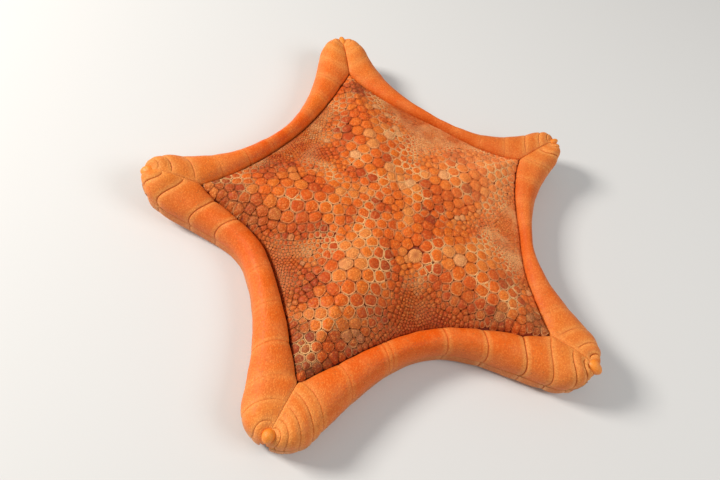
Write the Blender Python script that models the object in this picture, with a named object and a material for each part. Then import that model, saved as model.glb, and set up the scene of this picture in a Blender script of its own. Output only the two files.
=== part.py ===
"""Placenta sea star, life size, lying on its underside with the tips of its arms raised.

The disc and the five arms are cut from one body. Two rows of large plates edge each side, from tip to
tip, and a small knob ends each arm. The mouth and the feet in their furrows are on the underside.
Metres, +Z up, floor at Z = 0. Bearings are in degrees from +X, turning towards +Y.
"""
import math
from collections import namedtuple

import bmesh
import bpy
from mathutils import Vector, geometry

MM = 0.001
Arm = namedtuple("Arm", "name bearing reach tip_length tip_half top lift")
Side = namedtuple("Side", "name bearing notch_radius row_width")
Station = namedtuple("Station", "outer inner pinch top meeting")

# The arms, anticlockwise from the front left one. An arm's end is half an ellipse, tip_length by
# tip_half. Its edge plates are top high, and its tip is raised by lift.
ARMS = (
    Arm("front_left", 262, 76 * MM, 10 * MM, 11 * MM, 12 * MM, 1.5 * MM),
    Arm("front_right", 340, 76.5 * MM, 13.5 * MM, 11.7 * MM, 14 * MM, 2 * MM),
    Arm("right", 409, 74 * MM, 8 * MM, 7.8 * MM, 12 * MM, 5 * MM),
    Arm("back", 478.5, 79 * MM, 12 * MM, 9.8 * MM, 11.8 * MM, 4 * MM),
    Arm("left", 552, 74.5 * MM, 13.5 * MM, 10 * MM, 12.5 * MM, 5.5 * MM),
)
# The side that follows each arm, how near the centre it comes, and how wide its edge plates are there.
SIDES = (
    Side("front", 302.5, 44 * MM, 6.8 * MM),
    Side("right", 373, 49 * MM, 4.4 * MM),
    Side("back_right", 440, 49.5 * MM, 3.2 * MM),
    Side("back_left", 516, 47.5 * MM, 5.2 * MM),
    Side("left", 581, 46 * MM, 7 * MM),
)
DISC_CENTRE = Vector((0.2 * MM, 2.4 * MM, 0))    # brings the middle of the whole box to X = Y = 0

GAP = 0.3 * MM                      # between neighbouring solids

# Outline of a side
OUTER_FLARE = 17                    # degrees that an arm's edge opens from its axis, behind the tip
INNER_FLARE = 36                    # the same for the edge of the field between the rows
TIP_HANDLE = 0.39                   # Bezier handles, as a share of the span from tip to notch
NOTCH_HANDLE = 0.30
CURVE_POINTS = 40
TIP_STEPS = 12

# The rows of edge plates
ROW_MEETING = 17 * MM               # from the tip to where the two rows of an arm meet
ROW_SPLIT = 4.6 * MM                # height of the joint between the lower and the upper row
ROW_TOP = 11.2 * MM                 # at the middle of a side
TIP_DROP = 3 * MM                   # how far the top falls at the very tip,
TIP_DROP_SHARE = 0.2                # and over what share of the half edge
# Round an upper row's section from the foot of its outer face: shares of the width from outside, and of
# the height above the joint. Its inner edge is higher where the two rows of an arm meet.
UPPER_PROFILE = ((0.0, 0.26), (0.08, 0.62), (0.27, 0.9), (0.52, 1.0), (0.8, 0.95))
FOOT_INSET = 0.02
INNER_EDGE = 0.62
INNER_EDGE_GAIN = 0.26
LOWER_BULGE = (0.03, 0.42)          # the widest place of a lower row: shares of its width and height
PLATE_SHARES = (3, 4, 7, 8, 9, 10, 10.5, 10.5)  # plates from tip to middle: shares of the half edge
UPPER_STEPS = 3                     # stations on each plate
LOWER_STEPS = 2
SEAM_AT_TIP = 0.9 * MM              # depth of the seams between plates
SEAM_AT_MIDDLE = 0.25 * MM
LIFT_LENGTH = 28 * MM               # stretch of an arm over which its tip rises
SOLE = (0.28, 0.62)                 # the flat under a row, as shares of its width

# Disc and arms
RIM = 2.0 * MM                      # how far the rows stand above the edge of the field
FIELD_TOP = 16.2 * MM               # height of the middle of the disc
RIDGE_FALL = 3.0                    # how late the top falls away along an arm,
BAY_FALL = 1.8                      # and between two arms
UNDERSIDE = 1.2 * MM
ARM_CUT = 38 * MM                   # from the centre to the cut between disc and arm
SIDE_STEPS = 14
RING_SHARES = (0.0, 0.2, 0.38, 0.56, 0.74, 0.9, 1.0)

# Underside
FURROW_HALF = 2.6 * MM
FURROW_TOP = 3.4 * MM
MOUTH_RADIUS = 6.0 * MM
JAWS_RADIUS = 5.2 * MM              # of the jaws' ring, and of its lowest part
JAWS_LOWEST = 3.0 * MM
JAWS_RIM = 0.8 * MM
JAWS_PIT = 1.2 * MM                 # how far the pit in their middle goes up
FEET_BOTTOM = 0.9 * MM
BAND_THICKNESS = 0.9 * MM
FEET_PAIRS = 9
FEET_END = 6.5 * MM                 # from the tip to the last foot

# Sieve plate, and the knobs that end the arms
SIEVE_BEARING = 313
SIEVE_DISTANCE = 16.6 * MM
SIEVE_RADIUS = 2.4 * MM
SIEVE_DEPTH = 1.2 * MM
SIEVE_TOP_SHARE = 0.75              # of the radius, at its top
KNOB_RADIUS = 1.75 * MM
KNOB_BELOW_TOP = 4.5 * MM
KNOB_NOTCH = 5.2 * MM               # depth and half width of the notch that holds a knob
KNOB_NOTCH_HALF = 3.4 * MM

ORANGE = (0.78, 0.22, 0.035, 1)
DEEP_ORANGE = (0.62, 0.15, 0.03, 1)
RED_BROWN = (0.36, 0.08, 0.03, 1)
PEACH = (0.8, 0.36, 0.16, 1)
YELLOW_ORANGE = (0.85, 0.36, 0.05, 1)


def heading(degrees):
    angle = math.radians(degrees)
    return Vector((math.cos(angle), math.sin(angle), 0))


def lifted(point, height):
    """The point at that height, plus the rise of the arm tip that it belongs to."""
    rise = 0
    for arm in ARMS:
        past = point.dot(heading(arm.bearing)) - (arm.reach - LIFT_LENGTH)
        if past > 0:
            rise = arm.lift * (past / LIFT_LENGTH) ** 2
    return Vector((point.x, point.y, height + rise))


def half_edge(arm, side, turn, start, flare, notch_radius):
    """Points from the end of an arm to the middle of a side: the given start, then one curve."""
    opening = heading(arm.bearing + 180 - turn * flare)
    notch = heading(side.bearing) * notch_radius
    along_notch = heading(side.bearing - turn * 90)
    span = (notch - start[-1]).length
    handle_out = start[-1] + opening * TIP_HANDLE * span
    handle_in = notch + along_notch * NOTCH_HANDLE * span
    curve = geometry.interpolate_bezier(start[-1], handle_out, handle_in, notch, CURVE_POINTS)
    return start[:-1] + curve


def outer_half(arm, side, turn):
    """The outer edge: round the elliptical end from the knob's notch, then along the side."""
    axis = heading(arm.bearing)
    across = heading(arm.bearing + turn * 90)
    centre = axis * (arm.reach - arm.tip_length)
    first = math.asin(KNOB_NOTCH_HALF / arm.tip_half)
    last = math.atan2(arm.tip_half, arm.tip_length * math.tan(math.radians(OUTER_FLARE)))
    arc = []
    for step in range(TIP_STEPS + 1):
        angle = first + (last - first) * step / TIP_STEPS
        along = axis * arm.tip_length * math.cos(angle)
        arc.append(centre + along + across * arm.tip_half * math.sin(angle))
    return half_edge(arm, side, turn, arc, OUTER_FLARE, side.notch_radius)


def inner_half(arm, side, turn, clear):
    """The inner edge of a row, which runs beside the arm's axis until the two rows part."""
    axis = heading(arm.bearing)
    aside = heading(arm.bearing + turn * 90) * clear
    start = [axis * (arm.reach - KNOB_NOTCH) + aside, axis * (arm.reach - ROW_MEETING) + aside]
    return half_edge(arm, side, turn, start, INNER_FLARE, side.notch_radius - side.row_width)


def at_share(points, share):
    """The point at a share of a polyline's length."""
    lengths = [(b - a).length for a, b in zip(points, points[1:])]
    left = share * sum(lengths)
    for length, a, b in zip(lengths, points, points[1:]):
        if left <= length:
            return a.lerp(b, left / length)
        left -= length
    return points[-1].copy()


def row_top(arm, along):
    """Height of a row at a share of the half edge, counted from the arm's tip."""
    top = ROW_TOP + (arm.top - ROW_TOP) * (1 - along ** 2)
    near_tip = max(0, 1 - along / TIP_DROP_SHARE)
    return top - TIP_DROP * near_tip ** 2


def half_stations(arm, side, turn, clear, steps):
    outer = outer_half(arm, side, turn)
    inner = inner_half(arm, side, turn, clear)
    meeting_length = (ROW_MEETING - KNOB_NOTCH) / sum((b - a).length for a, b in zip(inner, inner[1:]))
    total = sum(PLATE_SHARES)
    seams = [sum(PLATE_SHARES[:count]) / total for count in range(len(PLATE_SHARES) + 1)]
    places = []
    for near, far in zip(seams, seams[1:]):
        places += [(near + (far - near) * step / steps, step == 0) for step in range(steps)]
    stations = []
    for along, on_seam in places + [(1.0, True)]:
        depth = SEAM_AT_TIP + (SEAM_AT_MIDDLE - SEAM_AT_TIP) * along
        meeting = max(0, 1 - along / meeting_length)
        stations.append(Station(at_share(outer, along), at_share(inner, along), depth if on_seam else 0,
                                row_top(arm, along), meeting ** 0.5))
    return stations


def row_stations(number, clear, steps):
    """The stations of a side's row, from tip to tip."""
    side = SIDES[number]
    there = half_stations(ARMS[number], side, 1, clear, steps)
    back = half_stations(ARMS[(number + 1) % len(ARMS)], side, -1, clear, steps)
    return there + back[-2::-1]


def finished(name, bm):
    bmesh.ops.recalc_face_normals(bm, faces=bm.faces)
    mesh = bpy.data.meshes.new(name)
    bm.to_mesh(mesh)
    bm.free()
    obj = bpy.data.objects.new(name, mesh)
    bpy.context.collection.objects.link(obj)
    obj.parent = star
    return obj


def coloured(obj, colour, roughness):
    material = bpy.data.materials.new(obj.name)
    material.use_nodes = True
    shader = material.node_tree.nodes["Principled BSDF"]
    shader.inputs["Base Color"].default_value = colour
    shader.inputs["Roughness"].default_value = roughness
    obj.data.materials.append(material)
    return obj


def mapped_tube(name, sections):
    """A closed tube through sections of equal point counts: a grid laid on them and capped."""
    length_steps = len(sections) - 1
    corners = len(sections[0])
    bm = bmesh.new()
    bmesh.ops.create_grid(bm, x_segments=length_steps, y_segments=corners, size=0.5)
    for vert in bm.verts:
        station = round((vert.co.x + 0.5) * length_steps)
        corner = round((vert.co.y + 0.5) * corners) % corners
        vert.co = sections[station][corner]
    bmesh.ops.remove_doubles(bm, verts=bm.verts, dist=1e-6)
    ends = [edge for edge in bm.edges if edge.is_boundary]
    bmesh.ops.holes_fill(bm, edges=ends, sides=0)
    return finished(name, bm)


def section(station, profile):
    """A profile of (share of the width from outside, height), drawn in where a seam is."""
    inward = (station.inner - station.outer).normalized()
    middle = (ROW_SPLIT + station.top) / 2
    points = []
    for share, height in profile:
        drawn_in = station.pinch * max(0, SOLE[1] - share)
        low = station.pinch if height > middle else 0
        points.append(lifted(station.outer.lerp(station.inner, share) + inward * drawn_in, height - low))
    return points


def upper_row(number):
    sections = []
    for station in row_stations(number, GAP / 2, UPPER_STEPS):
        rise = station.top - ROW_SPLIT
        low = ROW_SPLIT + GAP / 2
        inner_edge = INNER_EDGE + INNER_EDGE_GAIN * station.meeting
        arch = [(share, ROW_SPLIT + height * rise) for share, height in UPPER_PROFILE]
        profile = [(FOOT_INSET, low), *arch, (1.0, ROW_SPLIT + inner_edge * rise), (1.0, low)]
        sections.append(section(station, profile))
    return coloured(mapped_tube("upper_plates_" + SIDES[number].name, sections), ORANGE, 0.6)


def lower_row(number):
    high = ROW_SPLIT - GAP / 2
    profile = (
        (FOOT_INSET, high),
        (1.0, high),
        (1.0, UNDERSIDE),
        (SOLE[1], 0),
        (SOLE[0], 0),
        (LOWER_BULGE[0], LOWER_BULGE[1] * ROW_SPLIT),
    )
    stations = row_stations(number, FURROW_HALF, LOWER_STEPS)
    sections = [section(station, profile) for station in stations]
    return coloured(mapped_tube("lower_plates_" + SIDES[number].name, sections), PEACH, 0.6)


def field_edge():
    """Edge of the body inside the rows, all the way round: (point, height, closeness to an axis)."""
    edge = []
    for number, side in enumerate(SIDES):
        first = ARMS[number]
        second = ARMS[(number + 1) % len(ARMS)]
        corner = first.reach - ROW_MEETING - GAP / math.sin(math.radians(INNER_FLARE))
        edge.append((heading(first.bearing) * corner, first.top - RIM, 1.0))
        there = inner_half(first, side, 1, 0)[1:]
        back = inner_half(second, side, -1, 0)[1:]
        line = there + back[-2::-1]
        for step in range(1, SIDE_STEPS):
            share = step / SIDE_STEPS
            ahead = at_share(line, share + 0.01)
            behind = at_share(line, share - 0.01)
            inward = Vector((behind.y - ahead.y, ahead.x - behind.x, 0)).normalized()
            closeness = (1 + math.cos(2 * math.pi * share)) / 2
            nearest = first if share < 0.5 else second
            height = ROW_TOP + (nearest.top - ROW_TOP) * closeness - RIM
            edge.append((at_share(line, share) + inward * GAP, height, closeness))
    return edge


def body():
    """The whole body without its edge rows: a domed top, a wall and a flat underside."""
    edge = field_edge()
    rings = len(RING_SHARES) - 1
    bm = bmesh.new()
    bmesh.ops.create_grid(bm, x_segments=len(edge), y_segments=2 * rings + 1, size=0.5)
    for vert in bm.verts:
        rim, rim_height, closeness = edge[round((vert.co.x + 0.5) * len(edge)) % len(edge)]
        ring = round((vert.co.y + 0.5) * (2 * rings + 1))
        if ring <= rings:
            share = RING_SHARES[ring]
            fall = BAY_FALL + (RIDGE_FALL - BAY_FALL) * closeness
            height = rim_height + (FIELD_TOP - rim_height) * (1 - share ** fall)
        else:
            share = RING_SHARES[2 * rings + 1 - ring]
            height = UNDERSIDE
        vert.co = lifted(rim * share, height)
    bmesh.ops.remove_doubles(bm, verts=bm.verts, dist=1e-6)
    return bm


def as_cutter(obj):
    """Cutters keep no material, and the build leaves them out."""
    obj.hide_render = True
    obj.display_type = "WIRE"
    return obj


def round_cutter(name, middle, radius, low, high):
    bm = bmesh.new()
    bmesh.ops.create_cone(bm, cap_ends=True, segments=24, radius1=radius, radius2=radius, depth=high - low)
    bmesh.ops.translate(bm, verts=bm.verts, vec=middle + Vector((0, 0, (low + high) / 2)))
    return as_cutter(finished(name, bm))


def along_arm(arm, distances, profile):
    """Sections across an arm at distances from the centre, from (aside, height) corners."""
    axis = heading(arm.bearing)
    across = heading(arm.bearing + 90)
    return [[lifted(axis * distance + across * aside, height) for aside, height in profile]
            for distance in distances]


def furrow_cutter(arm):
    steps = 2 * FEET_PAIRS
    profile = ((-FURROW_HALF, FURROW_TOP), (FURROW_HALF, FURROW_TOP),
               (FURROW_HALF, -FURROW_TOP), (-FURROW_HALF, -FURROW_TOP))
    distances = [arm.reach * step / steps for step in range(1, steps + 1)]
    return as_cutter(mapped_tube("furrow_cutter_" + arm.name, along_arm(arm, distances, profile)))


def sieve_centre():
    return heading(SIEVE_BEARING) * SIEVE_DISTANCE


def sieve_top():
    """Height of the body's top at the sieve plate, which lies in the bay of the front side."""
    share = SIEVE_DISTANCE / (SIDES[0].notch_radius - SIDES[0].row_width)
    edge = ROW_TOP - RIM
    return edge + (FIELD_TOP - edge) * (1 - share ** BAY_FALL)


def carve(obj, *cutters):
    for tool in cutters:
        cut = obj.modifiers.new(tool.name, "BOOLEAN")
        cut.operation = "DIFFERENCE"
        cut.object = tool


def split(bm, arm, distance, keep_outside):
    """Cut across an arm, keep one side of the cut and close it."""
    everything = bm.verts[:] + bm.edges[:] + bm.faces[:]
    axis = heading(arm.bearing)
    cut = bmesh.ops.bisect_plane(bm, geom=everything, plane_co=axis * distance, plane_no=axis,
                                 clear_inner=keep_outside, clear_outer=not keep_outside)
    edges = [item for item in cut["geom_cut"] if isinstance(item, bmesh.types.BMEdge)]
    bmesh.ops.contextual_create(bm, geom=edges)


def disc(*cutters):
    bm = body()
    for arm in ARMS:
        split(bm, arm, ARM_CUT, keep_outside=False)
    obj = finished("disc", bm)
    carve(obj, *cutters)
    return coloured(obj, DEEP_ORANGE, 0.7)


def arm_body(arm, furrow):
    bm = body()
    split(bm, arm, ARM_CUT + GAP, keep_outside=True)
    obj = finished("arm_" + arm.name, bm)
    carve(obj, furrow)
    return coloured(obj, DEEP_ORANGE, 0.7)


def tube_feet(arm):
    """The feet of one arm, joined to the band that lines their furrow."""
    start = MOUTH_RADIUS + GAP
    stride = (arm.reach - FEET_END - start) / (2 * FEET_PAIRS)
    half = FURROW_HALF - GAP
    top = FURROW_TOP - GAP
    band = top - BAND_THICKNESS
    sections = []
    for step in range(2 * FEET_PAIRS + 1):
        low = FEET_BOTTOM if step % 2 else band - GAP
        profile = ((-half, top), (half, top), (half, band), (half / 2, low), (-half / 2, low), (-half, band))
        sections += along_arm(arm, [start + stride * step], profile)
    return coloured(mapped_tube("tube_feet_" + arm.name, sections), PEACH, 0.5)


def mouth():
    """The ring of jaws, drawn in to a small pit."""
    top = FURROW_TOP - GAP
    profile = ((0, top), (JAWS_RADIUS, top), (JAWS_RADIUS, top - JAWS_RIM), (JAWS_LOWEST, FEET_BOTTOM),
               (0, top - JAWS_PIT))
    bm = bmesh.new()
    corners = [bm.verts.new((radius, 0, height)) for radius, height in profile]
    edges = [bm.edges.new(pair) for pair in zip(corners, corners[1:])]
    bmesh.ops.spin(bm, geom=corners + edges, axis=(0, 0, 1), steps=20, angle=2 * math.pi, use_merge=True)
    bmesh.ops.remove_doubles(bm, verts=bm.verts, dist=1e-6)
    return coloured(finished("mouth", bm), RED_BROWN, 0.6)


def sieve_plate():
    """The madreporite: a low button in its own pit."""
    bm = bmesh.new()
    bmesh.ops.create_cone(bm, cap_ends=True, segments=24, radius1=SIEVE_RADIUS,
                          radius2=SIEVE_RADIUS * SIEVE_TOP_SHARE, depth=SIEVE_DEPTH)
    middle = sieve_centre() + Vector((0, 0, sieve_top() - SIEVE_DEPTH / 2 + GAP))
    bmesh.ops.translate(bm, verts=bm.verts, vec=middle)
    return coloured(finished("madreporite", bm), PEACH, 0.6)


def end_knob(arm):
    bm = bmesh.new()
    bmesh.ops.create_icosphere(bm, subdivisions=2, radius=KNOB_RADIUS)
    middle = lifted(heading(arm.bearing) * (arm.reach - KNOB_RADIUS), arm.top - KNOB_BELOW_TOP)
    bmesh.ops.translate(bm, verts=bm.verts, vec=middle)
    return coloured(finished("end_knob_" + arm.name, bm), YELLOW_ORANGE, 0.5)


for old in list(bpy.data.objects):
    bpy.data.objects.remove(old)

star = bpy.data.objects.new("star", None)
star.location = DISC_CENTRE
bpy.context.collection.objects.link(star)

furrow_cutters = [furrow_cutter(arm) for arm in ARMS]
mouth_cutter = round_cutter("mouth_cutter", Vector(), MOUTH_RADIUS, -FURROW_TOP, FURROW_TOP)
sieve_cutter = round_cutter("sieve_cutter", sieve_centre(), SIEVE_RADIUS + GAP,
                            sieve_top() - SIEVE_DEPTH, 2 * FIELD_TOP)
disc(mouth_cutter, sieve_cutter, *furrow_cutters)
sieve_plate()
mouth()
for index, one_arm in enumerate(ARMS):
    arm_body(one_arm, furrow_cutters[index])
    tube_feet(one_arm)
    end_knob(one_arm)
    upper_row(index)
    lower_row(index)
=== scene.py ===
import math
import random
from collections import namedtuple

import bmesh
import bpy
import numpy as np
from mathutils import Matrix, Vector, geometry, kdtree, noise


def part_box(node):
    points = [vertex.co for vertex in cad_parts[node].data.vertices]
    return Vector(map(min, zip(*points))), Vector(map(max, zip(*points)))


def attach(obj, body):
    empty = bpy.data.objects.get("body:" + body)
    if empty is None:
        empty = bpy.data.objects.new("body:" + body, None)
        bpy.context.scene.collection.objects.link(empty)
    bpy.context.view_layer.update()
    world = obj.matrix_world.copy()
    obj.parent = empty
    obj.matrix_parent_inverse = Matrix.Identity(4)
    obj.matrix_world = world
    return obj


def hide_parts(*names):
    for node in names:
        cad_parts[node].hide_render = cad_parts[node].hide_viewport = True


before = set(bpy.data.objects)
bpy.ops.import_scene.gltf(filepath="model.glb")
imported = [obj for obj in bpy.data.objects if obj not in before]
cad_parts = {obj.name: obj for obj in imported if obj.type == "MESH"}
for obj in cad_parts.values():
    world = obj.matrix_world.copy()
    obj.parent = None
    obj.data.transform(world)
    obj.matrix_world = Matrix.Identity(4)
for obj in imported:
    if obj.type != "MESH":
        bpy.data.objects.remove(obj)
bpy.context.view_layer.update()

MM = 0.001


# Camera. It looks down on the star from the front, a little over half way up, with the head tilted, through
# a 30 mm lens on a sensor 36 mm wide. The star's own middle, over its mouth, is the point it is hung from.
LOOK_DOWN = 57.36  # degrees below the horizon
HEAD_TILT = 19.88  # degrees, anticlockwise
EYE_DISTANCE = 195.1 * MM
EYE_ASIDE = -6.38 * MM  # along the picture's own right
EYE_UP = -1.35 * MM  # and up

mouth_low, mouth_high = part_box("mouth")
MIDDLE = Vector(((mouth_low.x + mouth_high.x) / 2, (mouth_low.y + mouth_high.y) / 2, 0))

down = math.radians(LOOK_DOWN)
to_eye = Vector((0, -math.cos(down), math.sin(down)))
tilt = Matrix.Rotation(math.radians(HEAD_TILT), 3, to_eye)
picture_right = tilt @ Vector((1, 0, 0))
picture_up = to_eye.cross(picture_right)
camera = bpy.data.objects.new("camera", bpy.data.cameras.new("camera"))
camera.data.sensor_width = 36
camera.data.lens = 30
camera.data.clip_start = 5 * MM
eye = MIDDLE + to_eye * EYE_DISTANCE + picture_right * EYE_ASIDE + picture_up * EYE_UP
axes = Matrix((picture_right, picture_up, to_eye)).transposed().to_4x4()
camera.matrix_world = Matrix.Translation(eye) @ axes
bpy.context.scene.collection.objects.link(camera)
bpy.context.scene.camera = camera


# Studio. A plain pale floor, a large soft light over the picture's upper left, a weaker one on the right, and
# a pale room all round. The colours are shown as they are, with no film curve.
FLOOR_HALF = 3.0
FLOOR_GREY = (0.72, 0.71, 0.69, 1)
ROOM_COLOUR = (0.97, 0.96, 0.95, 1)
ROOM_STRENGTH = 0.34
Lamp = namedtuple("Lamp", "name aside up towards_eye size watts colour")
LAMPS = (
    Lamp("key", -0.46, 0.34, 0.34, 0.16, 4.6, (1.0, 0.97, 0.93)),
    Lamp("fill", 0.50, 0.06, 0.42, 0.30, 1.4, (0.96, 0.98, 1.0)),
)


def wire(tree, kind, sockets=(), **settings):
    """A new node with its settings, and its sockets set to values or linked to other nodes' outputs."""
    made = tree.nodes.new(kind)
    for name, value in settings.items():
        setattr(made, name, value)
    for name, value in dict(sockets).items():
        if isinstance(value, bpy.types.NodeSocket):
            tree.links.new(value, made.inputs[name])
        else:
            made.inputs[name].default_value = value
    return made


def new_material(name, roughness, specular=0.5):
    """A material and its tree and shader."""
    material = bpy.data.materials.new(name)
    material.use_nodes = True
    shader = material.node_tree.nodes["Principled BSDF"]
    shader.inputs["Roughness"].default_value = roughness
    shader.inputs["Specular IOR Level"].default_value = specular
    return material, material.node_tree, shader


def placed(name, mesh):
    """A smooth mesh as an object at the origin."""
    mesh.shade_smooth()
    made = bpy.data.objects.new(name, mesh)
    bpy.context.scene.collection.objects.link(made)
    return made


def new_object(name, bm):
    mesh = bpy.data.meshes.new(name)
    bm.to_mesh(mesh)
    bm.free()
    return placed(name, mesh)


floor_mesh = bmesh.new()
bmesh.ops.create_grid(floor_mesh, x_segments=2, y_segments=2, size=FLOOR_HALF)
floor = new_object("floor", floor_mesh)
floor_paint, tree, shader = new_material("floor_paper", 0.85, 0.2)
shader.inputs["Base Color"].default_value = FLOOR_GREY
floor.data.materials.append(floor_paint)

for lamp in LAMPS:
    data = bpy.data.lights.new(lamp.name, "AREA")
    data.size = lamp.size
    data.energy = lamp.watts
    data.color = lamp.colour
    light = bpy.data.objects.new(lamp.name, data)
    away = picture_right * lamp.aside + picture_up * lamp.up + to_eye * lamp.towards_eye
    light.location = MIDDLE + away
    light.rotation_mode = "QUATERNION"
    light.rotation_quaternion = away.to_track_quat("Z", "Y")
    bpy.context.scene.collection.objects.link(light)

room = bpy.data.worlds.new("room")
room.use_nodes = True
sky = room.node_tree.nodes["Background"]
sky.inputs["Color"].default_value = ROOM_COLOUR
sky.inputs["Strength"].default_value = ROOM_STRENGTH
bpy.context.scene.world = room
bpy.context.scene.view_settings.view_transform = "Standard"


# Skin. The soft maroon skin of the disc and the arms, one sheet from the back to the underside, which shows
# in the seams between the plates. It lies a little under their tops, and is furrowed below, from the mouth
# to each arm's tip.
Arm = namedtuple("Arm", "name bearing reach tip_length tip_half top lift plum")
Side = namedtuple("Side", "name bearing notch_radius row_width dark gutter")
Edge = namedtuple("Edge", "bearing reach height closeness dark gutter plum")
ARMS = (
    Arm("front_left", 262, 76 * MM, 10 * MM, 11 * MM, 12 * MM, 1.5 * MM, 1.0),
    Arm("front_right", 340, 76.5 * MM, 13.5 * MM, 11.7 * MM, 14 * MM, 2 * MM, 0.9),
    Arm("right", 409, 74 * MM, 8 * MM, 7.8 * MM, 12 * MM, 5 * MM, 0.1),
    Arm("back", 478.5, 79 * MM, 12 * MM, 9.8 * MM, 11.8 * MM, 4 * MM, 0.5),
    Arm("left", 552, 74.5 * MM, 13.5 * MM, 10 * MM, 12.5 * MM, 5.5 * MM, 1.0),
)
SIDES = (
    Side("front", 302.5, 44 * MM, 6.8 * MM, 1.2, 1.0),
    Side("right", 373, 49 * MM, 4.4 * MM, 0.1, 0.5),
    Side("back_right", 440, 49.5 * MM, 3.2 * MM, 0.3, 0.6),
    Side("back_left", 516, 47.5 * MM, 5.2 * MM, 0.6, 1.0),
    Side("left", 581, 46 * MM, 7 * MM, 0.8, 3.0),
)
INNER_FLARE = 36  # degrees that the field opens from an arm's axis
TIP_HANDLE = 0.39  # Bezier handles, as shares of the span from tip to notch
NOTCH_HANDLE = 0.30
CURVE_POINTS = 40
ROW_MEETING = 17 * MM  # from the tip to where the two rows of an arm meet
ROW_TOP = 11.2 * MM
KNOB_NOTCH = 1.4 * MM
RIM = 2.0 * MM  # how far the edge plates stand above the field
FIELD_TOP = 16.2 * MM
RIDGE_FALL = 3.0  # how late the top falls away along an arm, and between two arms
BAY_FALL = 1.8
LIFT_LENGTH = 28 * MM  # stretch over which an arm's tip rises
COAT_DEPTH = 0.62 * MM  # from the plates' tops down to the skin
UNDERSIDE = 1.2 * MM
FURROW_HALF = 2.6 * MM
FURROW_TOP = 3.4 * MM
FURROW_WALL = 1.5  # how steep its walls are
TUCK = 0.8 * MM  # how far the skin runs in under the edge plates,
UNDER_TUCK = 3.2 * MM  # and more on the underside, beside the furrows
GUTTER_WIDTH = 1.6 * MM  # of the gutter along the edge plates,
GUTTER_DEPTH = 1.0 * MM  # and its depth at the edge
EDGE_STEPS = 96  # along each side
SKIN_RINGS = 44
RING_CROWDING = 0.8  # below 1, the rings lie closer together towards the edge
BAY_START = 0.55  # where the dark bays begin, as a share of the way out,
PLUM_START = 0.72  # and the plum corners,
PLUM_PATCH = 7 * MM  # which come in patches of that size,
PLUM_SHARE = 0.6  # this strong on the whole,
PLUM_CONTRAST = 1.6  # and so much stronger or weaker from patch to patch
SIDE_LIGHT_BEARING = math.radians(45)  # the way in which painted light and shade make the star's skin and plates paler and its edge plates duller, and between which distances from its middle
SIDE_LIGHT_FROM = 14 * MM  # and between which distances from its middle
SIDE_LIGHT_TO = 40 * MM
MAROON = (132, 50, 26)
RUST = (172, 74, 34)
# Painted light: the skin is painted paler on the right hand side.
SIDE_LIT_SKIN = (230, 106, 56)
PLUM_SKIN = (84, 36, 30)


def heading(degrees):
    angle = math.radians(degrees)
    return Vector((math.cos(angle), math.sin(angle), 0))


def axes_of(arm, turn=1):
    """The way along an arm, and the way across it to its left or, for a turn of -1, its right."""
    return heading(arm.bearing), heading(arm.bearing + turn * 90)


def half_edge(arm, side, turn, start, flare, notch_radius):
    """Points from the end of an arm to the middle of a side: the given start, then one curve."""
    notch = heading(side.bearing) * notch_radius
    span = (notch - start[-1]).length
    handle_out = start[-1] + heading(arm.bearing + 180 - turn * flare) * TIP_HANDLE * span
    handle_in = notch + heading(side.bearing - turn * 90) * NOTCH_HANDLE * span
    return start[:-1] + geometry.interpolate_bezier(start[-1], handle_out, handle_in, notch, CURVE_POINTS)


def inner_half(arm, side, turn, clear):
    """The inner edge of a row, which runs beside the arm's axis until the two rows part."""
    axis, across = axes_of(arm, turn)
    start = [axis * (arm.reach - back) + across * clear for back in (KNOB_NOTCH, ROW_MEETING)]
    return half_edge(arm, side, turn, start, INNER_FLARE, side.notch_radius - side.row_width)


def along_line(points, shares):
    """Points at shares of a polyline's length, as an array."""
    line = np.array([point[:2] for point in points])
    walked = np.concatenate(([0], np.cumsum(np.linalg.norm(np.diff(line, axis=0), axis=1))))
    wanted = np.asarray(shares) * walked[-1]
    return np.stack([np.interp(wanted, walked, column) for column in line.T], axis=-1)


def field_edge(clear=0):
    """The edge of the field all round, with each of its values as an array."""
    rows = []
    shares = np.arange(EDGE_STEPS) / EDGE_STEPS
    for number, side in enumerate(SIDES):
        ends = ARMS[number], ARMS[(number + 1) % len(ARMS)]
        there, back = [inner_half(arm, side, turn, clear)[1:] for arm, turn in zip(ends, (1, -1))]
        for share, point in zip(shares, along_line(there + back[-2::-1], shares)):
            nearest = ends[0] if share < 0.5 else ends[1]
            closeness = (1 + math.cos(2 * math.pi * share)) / 2
            between = math.sqrt(1 - closeness)
            bearing = math.degrees(math.atan2(point[1], point[0])) % 360
            height = ROW_TOP + (nearest.top - ROW_TOP) * closeness - RIM
            rows.append((bearing, math.hypot(*point), height, closeness, side.dark * between,
                         1 + (side.gutter - 1) * between, nearest.plum * closeness))
    return Edge(*np.array(sorted(rows)).T)


EDGE = field_edge()


def at_edge(name, x, y, edge=EDGE):
    """A value of the field's edge, where it lies beyond a point."""
    return np.interp(np.degrees(np.arctan2(y, x)) % 360, edge.bearing, getattr(edge, name), period=360)


def rise(x, y):
    """How far the tip of an arm is raised there."""
    total = np.zeros_like(x)
    for arm in ARMS:
        axis = heading(arm.bearing)
        past = np.clip(x * axis.x + y * axis.y - arm.reach + LIFT_LENGTH, 0, None)
        total += arm.lift * (past / LIFT_LENGTH) ** 2
    return total


def field_share(x, y):
    """How far out a point is: 0 at the middle, 1 at the edge of the field."""
    return np.hypot(x, y) / at_edge("reach", x, y)


def field_top(x, y):
    """Height of the plates' tops."""
    edge = at_edge("height", x, y)
    fall = BAY_FALL + (RIDGE_FALL - BAY_FALL) * at_edge("closeness", x, y)
    share = np.clip(field_share(x, y), 0, 1)
    inside = np.clip(at_edge("reach", x, y) - np.hypot(x, y), 0, None)
    gutter = GUTTER_DEPTH * np.clip(1 - inside / GUTTER_WIDTH, 0, 1) ** 2 * at_edge("gutter", x, y)
    return edge + (FIELD_TOP - edge) * (1 - share ** fall) + rise(x, y) - gutter


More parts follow.
